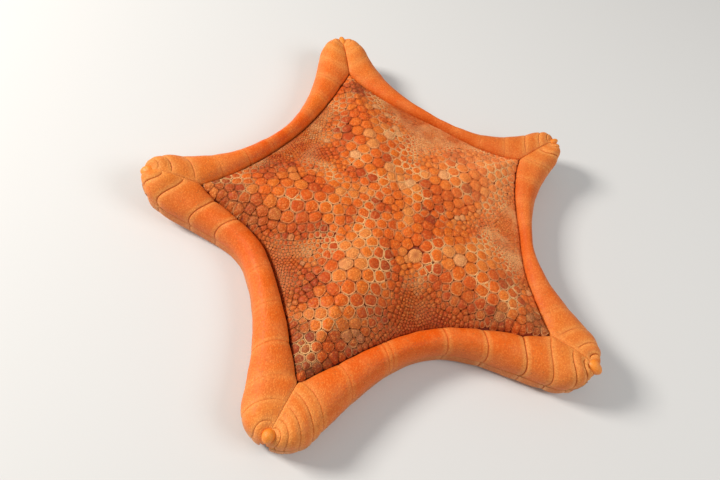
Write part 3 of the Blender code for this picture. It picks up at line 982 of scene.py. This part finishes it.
# Distances in mm of the seams from an arm's tip, on the side to its left and on that to its right, as the
# star's middle would see them.
SEAMS = {
    "front_left": ((2.1, 4.6, 8.3, 12.5, 16.0, 26.5, 39.5, 41.0), (3.2, 9.1, 16.0, 25.6, 37.3, 48.2)),
    "front_right": ((3.0, 7.2, 13.0, 20.5, 29.5, 39.0), (1.8, 4.0, 8.1, 14.9, 22.6, 34.0, 45.4)),
    "right": ((2.6, 6.4, 12.0, 19.5, 28.5, 38.0), (3.0, 7.4, 14.0, 22.0, 31.0, 40.5)),
    "back": ((3.2, 7.6, 13.5, 21.0, 30.0, 39.5, 48.5), (2.8, 6.8, 12.5, 20.0, 29.0, 38.5)),
    "left": ((4.5, 10.5, 21.0, 29.7), (3.0, 7.0, 13.5, 22.0, 31.5, 41.0)),
}
STEP_LONGEST = 1.0 * MM  # between stations in the middle of a plate
STEPS_AT_SEAM = (0.1 * MM, 0.24 * MM, 0.45 * MM, 0.8 * MM)
STEPS_SHARE = 0.45  # most of a plate's length that those steps take up at each end
CREASE_HALF = 0.13 * MM
SWELL_LENGTH = 1.9 * MM  # over which a plate rounds off into its creases
CREASE_DEPTH = (0.24 * MM, 0.1 * MM)  # at an arm's tip and at the middle of a side
SWELL_DEPTH = (0.6 * MM, 0.03 * MM)
DEPTH_HASTE = 0.6  # how soon the depths change from the one to the other
FORCE_SPREAD = 0.4  # how much the seams differ in depth
# How deep the seams are cut on each arm, on the side to its left and on that to its right, and the distance
# over which they fade along each side.
FORCES = {"front_left": (0.75, 0.6), "front_right": (1.8, 1.8), "right": (2.0, 2.2), "back": (0.6, 0.55),
          "left": (1.2, 0.9)}
SEAM_FADES = {"front": 200 * MM, "right": 16 * MM, "back_right": 16 * MM, "back_left": 60 * MM,
              "left": 200 * MM}
BOW = 2.1 * MM  # how far the seams bow away from the tip at the row's crest
BOW_START = 2 * MM  # distance from the tip by which they bow in full,
BOW_END = 0.75  # and share of the half side by which they run straight
END_ROUND = 2.4 * MM  # over which a row's end is rounded off,
END_SIZE = 0.3  # down to this share of its section,
END_HEIGHT = 0.8  # at this share of the joint's height or at the joint itself
HELD_SHARE = 0.12  # of a row's width, beside the other row, is neither lumpy nor drawn in
CREST = 0.52  # shares of a row's width and height: of its crest,
WIDEST = 0.26  # of its widest place,
INNER_EDGE = 0.62  # and of its inner edge along a side
# The same where the row meets the other row of its arm: all but level where the seam is closed.
MEETING_EDGE = {"front_left": 0.975, "front_right": 0.95, "right": 0.9, "back": 0.85, "left": 0.965}
OPEN_EDGE = 0.88
CLOSED_EDGE = 0.96
SCALLOP = 0.6 * MM  # how far a plate's inner corners are drawn back at the tips,
SCALLOP_LENGTH = 1.3 * MM  # and over what length
LIP_PLACE = 0.6 * MM  # of the pale lip beside a crease, from the seam,
LIP_WIDTH = 0.35 * MM
TIP_FADE = 17 * MM  # over which a tip's colours fade along the row
JOIN_SHARE = 0.05  # of a row's width is pale beside a closed seam
FOOT_ANGLE = -20
LUMP_SIZE = 4.0 * MM
LUMP_DEPTH = 0.16 * MM
# Painted shade: the edge plates are painted duller on the right hand side.
SIDE_SHADED_ORANGE = (206, 108, 46)
# Painted shade in the creases between the plates.
CREASE_SHADE_RED = (180, 60, 8)
Stations = namedtuple("Stations", "walked length gap force tone")
Section = namedtuple("Section", "width height by_edge free face")


def outer_half(arm, side, turn, clear):
    """The outer edge: round the elliptical end from the knob's notch or the furrow's end, then on."""
    axis, across = axes_of(arm, turn)
    centre = axis * (arm.reach - arm.tip_length)
    first = math.asin((KNOB_NOTCH_HALF + FURROW_MOUTH * clear) / arm.tip_half)
    last = math.atan2(arm.tip_half, arm.tip_length * math.tan(math.radians(OUTER_FLARE)))
    arc = [centre + axis * arm.tip_length * math.cos(angle) + across * arm.tip_half * math.sin(angle)
           for angle in np.linspace(first, last, TIP_STEPS + 1)]
    return half_edge(arm, side, turn, arc, OUTER_FLARE, side.notch_radius)


def half_stations(arm, side, turn, clear):
    """Stations from an arm's tip to the middle of a side, close together at the seams."""
    shares = np.linspace(0, 1, HALF_SAMPLES)
    outer = along_line(outer_half(arm, side, turn, clear), shares)
    inner = along_line(inner_half(arm, side, turn, 0), shares)
    length = np.linalg.norm(np.diff((outer + inner) / 2, axis=0), axis=1).sum()
    seams = np.array(SEAMS[arm.name][turn < 0]) * MM
    walked = [0]
    for near, far in zip([0, *seams], [*seams, length]):
        steps = [step for step in STEPS_AT_SEAM if step < STEPS_SHARE * (far - near)]
        first = near + steps[-1]
        last = far - steps[-1]
        walked += [near + step for step in steps[:-1]]
        walked += list(np.linspace(first, last, math.ceil((last - first) / STEP_LONGEST) + 1))
        walked += [far - step for step in steps[-2::-1]] + [far]
    walked = np.array(walked)
    apart = np.abs(walked[:, None] - seams[None, :])
    force = FORCES[arm.name][turn < 0] * np.exp(-seams / SEAM_FADES[side.name])
    force *= np.array([CHANCE.uniform(1 - FORCE_SPREAD, 1 + FORCE_SPREAD) for _ in seams])
    tone = np.array([CHANCE.random() for _ in range(len(seams) + 1)])
    return Stations(walked, length, apart.min(axis=1), force[apart.argmin(axis=1)],
                    tone[np.searchsorted(seams, walked)])


def row_top(arm, along):
    """Height of a row at a share of the half side, counted from the arm's tip."""
    near_tip = np.clip(1 - along / TIP_DROP_SHARE, 0, None)
    return ROW_TOP + (arm.top - ROW_TOP) * (1 - along ** 2) - TIP_DROP * near_tip ** 2


def row_half(arm, side, turn, section, clear, low, high_at):
    """Half of a row as a table of points, one line round the section for each station, with how deep each
    is drawn in and its marks."""
    stations = half_stations(arm, side, turn, clear)
    along = stations.walked / stations.length
    begun = np.clip(stations.walked / BOW_START, 0, 1)
    bow = BOW * np.clip(1 - along / BOW_END, 0, 1) * (begun * begun * (3 - 2 * begun))
    crown = 1 - (2 * np.clip(section.width, 0, 1) - 1) ** 2
    share = np.clip(along[:, None] + bow[:, None] * crown / stations.length, 0, 1)
    outer = along_line(outer_half(arm, side, turn, clear), share)
    inner = along_line(inner_half(arm, side, turn, clear), share)
    meeting = np.sqrt(np.clip(1 - share * stations.length / ROW_MEETING, 0, 1))
    across = outer - inner
    across /= np.linalg.norm(across, axis=2, keepdims=True)
    recess = SCALLOP * np.minimum(stations.force, 1) * np.exp(-stations.gap / SCALLOP_LENGTH) * (1 - along)
    inner = inner + across * (recess[:, None] * np.clip(1 - 3 * meeting, 0, 1))[..., None]
    flat = outer + (inner - outer) * section.width[:, None]
    meeting_edge = MEETING_EDGE[arm.name]
    inner_edge = INNER_EDGE + (meeting_edge - INNER_EDGE) * meeting
    height = low + (section.height + section.by_edge * inner_edge) * (high_at(arm, share) - low)
    height += rise(flat[..., 0], flat[..., 1])
    table = np.concatenate((flat, height[..., None]), axis=2)
    end = np.clip(1 - stations.walked / END_ROUND, 0, 1)
    middle = table.mean(axis=1, keepdims=True)
    middle[..., 2] = max(low, END_HEIGHT * ROW_SPLIT) + rise(middle[..., 0], middle[..., 1])
    size = 1 - (1 - END_SIZE) * (1 - np.sqrt(1 - end ** 2))
    table = middle + (table - middle) * size[:, None, None]
    met = np.clip(2 * meeting, 0, 1)
    from_other = 1 - section.width
    free = section.free * (1 - met * np.exp(-(from_other / HELD_SHARE) ** 2))
    force = (stations.force * size)[:, None] * free
    crease = force * np.exp(-(stations.gap / CREASE_HALF) ** 2)[:, None]
    swell = force * np.exp(-stations.gap / SWELL_LENGTH)[:, None]
    crease_depth, swell_depth = [np.interp(along ** DEPTH_HASTE, (0, 1), depth)[:, None]
                                 for depth in (CREASE_DEPTH, SWELL_DEPTH)]
    closed = np.interp(meeting_edge, (OPEN_EDGE, CLOSED_EDGE), (0, 1))
    marks = {
        "crease": crease,
        "lip": force * np.exp(-((stations.gap - LIP_PLACE) / LIP_WIDTH) ** 2)[:, None],
        "swell": np.exp(-stations.gap / SWELL_LENGTH)[:, None],
        "tip": np.exp(-stations.walked / TIP_FADE)[:, None],
        "tone": stations.tone[:, None],
        "face": section.face,
        "join": closed * met * np.exp(-(from_other / JOIN_SHARE) ** 2),
        # the pale mark: painted light and shade on the right hand side
        "pale": painted_side_light(flat[..., 0], flat[..., 1]),
        "free": free,
    }
    marks = {name: np.broadcast_to(values, force.shape) for name, values in marks.items()}
    return {"table": table, "depth": crease * crease_depth + swell * swell_depth, **marks}


def row_of_plates(name, number, section, clear, low, high_at):
    """A side's whole row, from tip to tip: its two halves, drawn in at the seams and a little lumpy."""
    ends = ARMS[number], ARMS[(number + 1) % len(ARMS)]
    near, far = [row_half(arm, SIDES[number], turn, section, clear, low, high_at)
                 for arm, turn in zip(ends, (1, -1))]
    marks = {key: np.concatenate((near[key], far[key][-2::-1])) for key in near}
    table = marks.pop("table")
    depth = marks.pop("depth")
    around = np.roll(table, -1, axis=1) - np.roll(table, 1, axis=1)
    normal = np.cross(np.gradient(table, axis=0), around)
    normal /= np.linalg.norm(normal, axis=2, keepdims=True)
    outward = ((table - table.mean(axis=1, keepdims=True)) * normal).sum(axis=2).mean()
    lumps = np.array([[noise.noise(Vector(place) / LUMP_SIZE) for place in line] for line in table])
    table = table + np.sign(outward) * normal * (LUMP_DEPTH * lumps * marks["free"] - depth)[..., None]
    table[..., 2] = np.maximum(table[..., 2], 0)
    points = len(section.width)

    def rule(u, v):
        station = np.rint(u * (len(table) - 1)).astype(int)
        corner = np.rint(v * points).astype(int) % points
        return table[station, corner], {key: values[station, corner] for key, values in marks.items()}

    return laid_grid(name, len(table) - 1, points, rule)


def section_of(*parts):
    """A section from parts that follow one another: width, height, by_edge, free and face of each."""
    filled_out = [np.broadcast_arrays(*[np.asarray(values, float) for values in part]) for part in parts]
    return Section(*[np.concatenate(values) for values in zip(*filled_out)])


def row_paint(name, deep, tip, face, pale):
    """Granular limy plates: one tone along a side and another near the tips, paler on the outer face, with
    painted shade in the creases and the hollows and on the right hand side.
    """
    paint, tree, shader = new_material(name, 0.5, 0.15)
    tone = worked(tree, "MULTIPLY", worked(tree, "SUBTRACT", mark(tree, "tone"), 0.5), 0.55)
    colour = mixed(tree, worked(tree, "ADD", mark(tree, "tip", 1.5), tone), deep, tip)
    # Painted shade: the edge plates are painted duller on the right hand side.
    colour = stains_and_shading(tree, colour, ("pale", 0.5, SIDE_SHADED_ORANGE))
    colour = mixed(tree, spread(tree, mottle(tree, 6 * MM, 4.0), 0.42, 0.66, 0.0, 0.55), colour, face)
    colour = stains_and_shading(tree, colour, ("face", 0.75, face))
    colour = mixed(tree, worked(tree, "MULTIPLY", mark(tree, "swell", 0.9), mark(tree, "tip")), colour, pale)
    # The crease mark paints shade into the creases at the seams; the lip and the join are the plates' own
    # paler colour.
    colour = stains_and_shading(tree, colour, ("lip", 0.45, pale), ("join", 0.8, pale), ("crease", 0.45, CREASE_SHADE_RED))
    covering = grains(tree, 0.45 * MM)
    colour = grained(tree, colour, covering, (196, 76, 14), (255, 172, 84), 0.2)
    # Painted shade in the hollows between the grains.
    colour = shaded_hollows(tree, colour, covering, 0.35, (186, 62, 6))
    # A few grains painted dark, as the shade of small pits.
    pit_shade = spread(tree, covering.outputs["Tone"], 0.965, 0.985, 0.0, 0.3)
    finish(tree, shader, mixed(tree, pit_shade, colour, (140, 50, 20)), covering, 0.06 * MM)
    return paint


def laid_rows(kind, paint, *shape):
    """The upper or the lower rows of all the sides."""
    for number, side in enumerate(SIDES):
        row = row_of_plates(kind + "_edge_" + side.name, number, *shape)
        fitted(row, paint, kind + "_edge_plates", kind + "_plates_" + side.name)


outer_arc = np.radians(np.linspace(FOOT_ANGLE, 90, 20))
inner_arc = np.radians(np.linspace(0, 90, 13)[1:])
wall = np.linspace(1, 0, 4)[1:]
foot = CREST * (1 - math.cos(outer_arc[0]))
upper_section = section_of(
    (CREST * (1 - np.cos(outer_arc)), WIDEST + (1 - WIDEST) * np.sin(outer_arc), 0,
     np.clip(0.35 + 1.2 * (1 + np.sin(outer_arc)) / 2, 0, 1), 1 - np.clip(np.sin(outer_arc), 0, 1) ** 1.5),
    (CREST + (1 - CREST) * np.sin(inner_arc), np.cos(inner_arc), 1 - np.cos(inner_arc), 1, 0),
    (1, 0, wall, wall, 0),
    (np.linspace(1, foot, 5)[1:-1], 0, 0, 0, 0),
)
upper_paint = row_paint("orange_edge_plates", (236, 92, 4), (250, 142, 50), (236, 132, 64), (255, 178, 94))
laid_rows("upper", upper_paint, upper_section, 0, ROW_SPLIT, row_top)


# Lower edge plates. The same plates of lime below, where they carry the star: pale, with a flat sole on the
# floor. They end beside the furrows, and a tongue along their tops fills the joint with the upper row.
SOLE = (0.28, 0.62)  # the flat under a row, as shares of its width
BULGE = 0.5  # height of the widest place, as a share of the row's
UPPER_LEAN = 0.05  # how far in the joint with the upper row lies
TONGUE = 1.13  # height of the tongue that fills the joint, as a share of the row's,
TONGUE_EDGE = 0.07  # where it starts and ends, as a share of the row's width,
TONGUE_SLOPE = 1.3  # and where it is up, as a share of that


def joint_height(arm, along):
    return ROW_SPLIT


round_under = np.radians(np.linspace(0, 90, 9))
lean = np.radians(np.linspace(0, 90, 7)[1:])
inward = np.linspace(0, 1, 5)[1:]
tongue_up = TONGUE_SLOPE * TONGUE_EDGE
inner_foot = UNDERSIDE / ROW_SPLIT
lower_section = section_of(
    (SOLE[0] * (1 - np.sin(round_under)), BULGE * (1 - np.cos(round_under)), 0,
     0.6 + 0.4 * np.sin(round_under), 1),
    (UPPER_LEAN * (1 - np.cos(lean)), BULGE + (1 - BULGE) * np.sin(lean), 0, 1, 1),
    ((UPPER_LEAN + TONGUE_EDGE, UPPER_LEAN + tongue_up, 0.5, 1 - tongue_up, 1 - TONGUE_EDGE, 1),
     (1, TONGUE, TONGUE, TONGUE, 1, 1), 0, 0, 0),
    (1, np.linspace(1, inner_foot, 4)[1:], 0, 0, 0),
    (1 - (1 - SOLE[1]) * inward, inner_foot * (1 - inward), 0, 0.6, 0.6),
    (np.linspace(SOLE[1], SOLE[0], 6)[1:-1], 0, 0, 0.6, 0.6),
)
lower_paint = row_paint("pale_edge_plates", (206, 112, 50), (236, 144, 70), (216, 140, 84), (250, 190, 124))
laid_rows("lower", lower_paint, lower_section, FURROW_HALF, 0, joint_height)


# End knobs. The single plate of lime that ends each arm, a blunt yellow cone, a little wrinkled. It sits in
# the notch between the last edge plates.
Knob = namedtuple("Knob", "length half nose below_top")
# Half its length, half its width, the degrees its nose is turned down, and how far it lies below the top.
KNOBS = {
    "front_left": Knob(2.1 * MM, 2.0 * MM, 40, 3.3 * MM),
    "front_right": Knob(2.8 * MM, 2.4 * MM, 10, 4.1 * MM),
    "right": Knob(2.1 * MM, 1.3 * MM, 5, 4.0 * MM),
    "back": Knob(2.7 * MM, 1.6 * MM, 0, 4.0 * MM),
    "left": Knob(2.3 * MM, 2.3 * MM, 5, 5.2 * MM),
}
KNOB_TAPER = 0.4
KNOB_BLUNT = 0.12
KNOB_WRINKLE = 0.04  # depth of its wrinkles, as a share of half its width,
KNOB_WRINKLES = 2.3  # and how close together they are
KNOB_BACK = 0.8  # of its middle from the arm's end, in half lengths

knob_paint, tree, shader = new_material("yellow_end_knobs", 0.45)
covering = grains(tree, 0.3 * MM)
knob_colour = mixed(tree, mottle(tree, 2 * MM), (254, 164, 44), (250, 136, 40))
# Painted shade in the hollows between the grains.
finish(tree, shader, shaded_hollows(tree, knob_colour, covering, 0.3, (200, 90, 24)), covering, 0.05 * MM)
for arm in ARMS:
    shape = KNOBS[arm.name]
    bm = bmesh.new()
    bmesh.ops.create_uvsphere(bm, u_segments=28, v_segments=18, radius=1)
    for vert in bm.verts:
        wide = 1 - KNOB_TAPER * (vert.co.x + 1) / 2
        vert.co.x -= KNOB_BLUNT * max(vert.co.x, 0) ** 2
        wide += KNOB_WRINKLE * noise.noise(vert.co * KNOB_WRINKLES)
        vert.co *= Vector((shape.length, shape.half * wide, shape.half * wide))
    nose = Matrix.Rotation(math.radians(shape.nose), 3, "Y")
    turned = Matrix.Rotation(math.radians(arm.bearing), 3, "Z") @ nose
    bmesh.ops.rotate(bm, verts=bm.verts, cent=Vector(), matrix=turned)
    place = heading(arm.bearing) * (arm.reach - KNOB_BACK * shape.length)
    place.z = arm.top - shape.below_top + arm.lift
    bmesh.ops.translate(bm, verts=bm.verts, vec=place + MIDDLE)
    knob = new_object("end_knob_" + arm.name + "_plate", bm)
    fitted(knob, knob_paint, "end_knobs", "end_knob_" + arm.name)


# Underside plates. Larger, flatter plates of lime that pave the underside between the furrows, in rows beside
# them, set in the skin with grains round each.
UNDER_PITCH = 3.6 * MM
UNDER_ROWS = 8
UNDER_JITTER = 0.06
UNDER_CLEAR = 0.12 * UNDER_PITCH  # least distance of a plate's middle from the edge
MOUTH_RADIUS = 6 * MM
MOUTH_CLEAR = 0.4 * UNDER_PITCH  # least distance of one from the mouth
MOUTH_CUTTERS = 16
UNDER_ROOT = 0.15 * MM
UNDER_GRAIN = 1.75  # size of its grains, over that of the back's
UNDER_CUTS = (
    (0.4 * MM, (Cut(0.05, 0.34, 0.5), Cut(0.10, 0.10, 1.0), Cut(0.20, 0.04, 0.3), Cut(0.35, 0.10, 0.0),
                Cut(0.45, 0.05, 0.0))),
)
UNDER_TONES = ((0.0, (206, 112, 58)), (0.5, (224, 140, 80)), (1.0, (240, 172, 114)))
UNDER_RING = ring_of(field_edge(FURROW_HALF))


def under_spots():
    """Spots for the plates below, and then spots in the furrows and the mouth that only cut them off."""
    spots = []
    cutters = []
    for number, arm in enumerate(ARMS):
        axis, across = axes_of(arm)
        for row in range(-1, UNDER_ROWS):
            offset = FURROW_HALF + (row + 0.5) * UNDER_PITCH
            for along in np.arange(MOUTH_RADIUS + UNDER_PITCH / 2 * (row % 2), arm.reach, UNDER_PITCH):
                for turn in (1, -1):
                    shift = loose(UNDER_JITTER) * UNDER_PITCH
                    place = axis * along + across * turn * offset + shift * (row >= 0)
                    spot = Spot(place.x, place.y, UNDER_PITCH)
                    own = nearest_arm(*spot[:2]) == number and clearance(*spot[:2], UNDER_RING) > UNDER_CLEAR
                    if row < 0:
                        cutters.append(spot)
                    elif own and math.hypot(*spot[:2]) > MOUTH_RADIUS + MOUTH_CLEAR:
                        spots.append(spot)
    for number in range(MOUTH_CUTTERS):
        place = heading(360 * number / MOUTH_CUTTERS) * (MOUTH_RADIUS - MOUTH_CLEAR)
        cutters.append(Spot(place.x, place.y, UNDER_PITCH))
    return thinned(spots), cutters


def under_height(x, y):
    return UNDERSIDE + UNDER_ROOT + rise(x, y)


def turned_under(piece):
    """Turns a piece made face up to face down, and lays it under the star."""
    piece.data.transform(Matrix.Diagonal((1, 1, -1, 1)))
    piece.data.flip_normals()
    laid_on(piece, under_height)
    on_plan(piece, -1)


under_paint, tree, shader = new_material("underside_plates", 0.55, 0.3)
covering = grains(tree, 0.5 * MM)
under_colour = stains_and_shading(tree, toned(tree, mark(tree, "tone"), UNDER_TONES), ("rim", 0.5, (250, 200, 140)))
# Painted shade in the hollows between the grains.
finish(tree, shader, shaded_hollows(tree, under_colour, covering, 0.35, (170, 80, 34)), covering, 0.1 * MM)

below, cutters = under_spots()
added = filled(below + cutters, UNDER_RING)[len(below + cutters):]
below += [spot for spot in added if math.hypot(*spot[:2]) > MOUTH_RADIUS + MOUTH_CLEAR]
tiles, grains_at = tiled("under_mosaic", range(len(below)), below + cutters, UNDER_CUTS, UNDER_RING,
                         UNDER_GRAIN)
for piece in (tiles, scattered("under_grains", grains_at)):
    turned_under(piece)
    fitted(piece, under_paint, "skin")


# Furrow spines. Blunt spines of lime that fence the furrows and guard the feet: a slender row at the edge
# and a stout one behind it, each with its foot in the skin.
SPINE_STEP = 0.85 * MM
SPINE_END = 7 * MM  # from an arm's tip to the last spine
SPINE_FOOT = 1.35 * MM  # height of a spine's middle
SPINE_RIM = 0.6  # how pale a spine is
SPINE_SPREAD = (0.85, 1.1)  # of their sizes
SLENDER = (0.24 * MM, 0.24 * MM, 0.75 * MM)
STOUT = (0.32 * MM, 0.32 * MM, 0.55 * MM)
STOUT_BEHIND = 0.75 * MM


def spines_of(arm):
    axis, across = axes_of(arm)
    for along in np.arange(MOUTH_RADIUS + SPINE_STEP, arm.reach - SPINE_END, SPINE_STEP):
        for turn in (1, -1):
            for size, behind, step in ((SLENDER, 0, 0), (STOUT, STOUT_BEHIND, SPINE_STEP / 2)):
                grow = CHANCE.uniform(*SPINE_SPREAD)
                place = axis * (along + step) + across * turn * (FURROW_HALF + behind)
                place.z = SPINE_FOOT + float(rise(place.x, place.y))
                marks = {"tone": CHANCE.random(), "rim": SPINE_RIM}
                yield place + MIDDLE, [side * grow for side in size], marks


def set_spines(name, slot, spines_at):
    """Sets a spine at each of these places."""
    spines = scattered(name, spines_at)
    on_plan(spines, -1)
    fitted(spines, under_paint, slot)


set_spines("furrow_spines", "skin", [spine for arm in ARMS for spine in spines_of(arm)])


# Tube feet. Two rows of soft, see-through feet hang in each furrow, by which the star walks. Each is a stalk
# of muscle and skin that ends in a sucker.
FOOT_STEP = 2.0 * MM
FOOT_ASIDE = 1.15 * MM
FOOT_RADIUS = 0.45 * MM
FOOT_TAPER = 0.8
FOOT_SUNK = 0.3 * MM  # how far it runs up into the furrow's roof
SUCKER_RADIUS = 0.72 * MM
SUCKER_THICK = 0.28 * MM
SUCKER_HEIGHT = 0.75 * MM
FEET_START = 7.5 * MM
FEET_END = 7 * MM

foot_paint, tree, shader = new_material("soft_tube_feet", 0.35, 0.5)
foot_colour = mixed(tree, mottle(tree, 0.8 * MM), (244, 190, 140), (232, 150, 96))
tree.links.new(foot_colour, shader.inputs["Base Color"])
shader.inputs["Subsurface Weight"].default_value = 0.15
shader.inputs["Subsurface Radius"].default_value = (1.0, 0.4, 0.2)
shader.inputs["Subsurface Scale"].default_value = 0.5 * MM
foot_length = FURROW_TOP + FOOT_SUNK - SUCKER_HEIGHT
for arm in ARMS:
    bm = bmesh.new()
    axis, across = axes_of(arm)
    for number, along in enumerate(np.arange(FEET_START, arm.reach - FEET_END, FOOT_STEP / 2)):
        place = axis * along + across * (FOOT_ASIDE if number % 2 else -FOOT_ASIDE)
        place.z = SUCKER_HEIGHT + float(rise(place.x, place.y))
        sucker = Matrix.Translation(MIDDLE + place)
        stalk = sucker @ Matrix.Translation((0, 0, foot_length / 2))
        bmesh.ops.create_cone(bm, cap_ends=True, segments=12, radius1=FOOT_RADIUS * FOOT_TAPER,
                              radius2=FOOT_RADIUS, depth=foot_length, matrix=stalk)
        sucker = sucker @ Matrix.Diagonal((SUCKER_RADIUS, SUCKER_RADIUS, SUCKER_THICK, 1))
        bmesh.ops.create_uvsphere(bm, u_segments=14, v_segments=8, radius=1, matrix=sucker)
    feet = new_object("feet_" + arm.name, bm)
    fitted(feet, foot_paint, "tube_feet", "tube_feet_" + arm.name)


# Mouth. A thin skin with a small round mouth in its middle, between five pairs of wedge-shaped jaw plates,
# whose points bear short spines.
MEMBRANE_STEPS = 60
MEMBRANE_RINGS = 20
MEMBRANE_LOW = 2.3 * MM
MEMBRANE_PIT = 0.9 * MM
PIT_WIDTH = 0.16  # of the mouth itself, as a share of the skin's radius, and of the painted shade of its opening
PIT_SHADE = 0.2  # and of its dark stain
MEMBRANE_ROOT = 0.4 * MM  # how far the skin runs up past the furrows' roofs
PLEATS = 20
PLEAT_DEPTH = 0.12 * MM
JAW_OUTER = 6.6 * MM
JAW_INNER = 2.3 * MM
JAW_HALF = 21  # degrees to each side of the middle of a side
JAW_SEAM = 0.12 * MM
JAW_BEVEL = 1.25  # distance of a jaw's blunt inner corner from the middle, over that of its point
JAW_CORNERS = 5
JAW_SPINES = 5
JAW_SPREAD = 0.2  # how much farther out the outermost spines stand than the middle one


def membrane_rule(u, v):
    """v runs from the middle of the lower face out to the rim, and in again above."""
    lower = v < 0.5
    out = np.where(lower, 2 * v, 2 - 2 * v)
    angle = -2 * math.pi * u
    pleat = PLEAT_DEPTH * np.cos(PLEATS * angle) * out * (1 - out) * 4
    low = MEMBRANE_LOW + MEMBRANE_PIT * np.exp(-(out / PIT_WIDTH) ** 2) + pleat
    place = [MOUTH_RADIUS * out * np.cos(angle), MOUTH_RADIUS * out * np.sin(angle),
             np.where(lower, low, FURROW_TOP + MEMBRANE_ROOT)]
    return np.stack(place, axis=1), {"pit": np.exp(-(out / PIT_SHADE) ** 2)}


membrane = laid_grid("mouth_skin", MEMBRANE_STEPS, MEMBRANE_RINGS, membrane_rule)
membrane_paint, tree, shader = new_material("mouth_skin", 0.45)
membrane_colour = mixed(tree, mottle(tree, 1.2 * MM), (214, 120, 72), (180, 84, 46))
# Painted shade: the mouth's opening is painted dark.
membrane_colour = stains_and_shading(tree, membrane_colour, ("pit", 1, (90, 26, 14)))
tree.links.new(membrane_colour, shader.inputs["Base Color"])
fitted(membrane, membrane_paint, "mouth", "mouth")

jaws = mesh_with("tone", "rim")
jaw_spines = []
for side in SIDES:
    for turn in (1, -1):
        aside = heading(side.bearing + 90) * turn * JAW_SEAM
        corners = [heading(side.bearing + turn * JAW_HALF * step / (JAW_CORNERS - 1)) * JAW_OUTER
                   for step in range(JAW_CORNERS)]
        corners.append(heading(side.bearing + turn * JAW_HALF) * JAW_INNER * JAW_BEVEL)
        corners.append(heading(side.bearing) * JAW_INNER)
        verts = [jaws.verts.new(corner + aside) for corner in corners[::turn]]
        marked(jaws, verts, {"tone": CHANCE.random(), "rim": 0})
        jaws.faces.new(verts)
    for part in np.linspace(-1, 1, JAW_SPINES):
        place = heading(side.bearing + part * JAW_HALF) * JAW_INNER * (1.0 + JAW_SPREAD * abs(part))
        place.z = SPINE_FOOT
        jaw_spines.append((place + MIDDLE, SLENDER, {"tone": CHANCE.random(), "rim": SPINE_RIM}))
raised_tiles(jaws, UNDER_CUTS[0][1])
jaw_plates = new_object("jaw_plates", jaws)
turned_under(jaw_plates)
fitted(jaw_plates, under_paint, "mouth")
set_spines("jaw_spines", "mouth", jaw_spines)
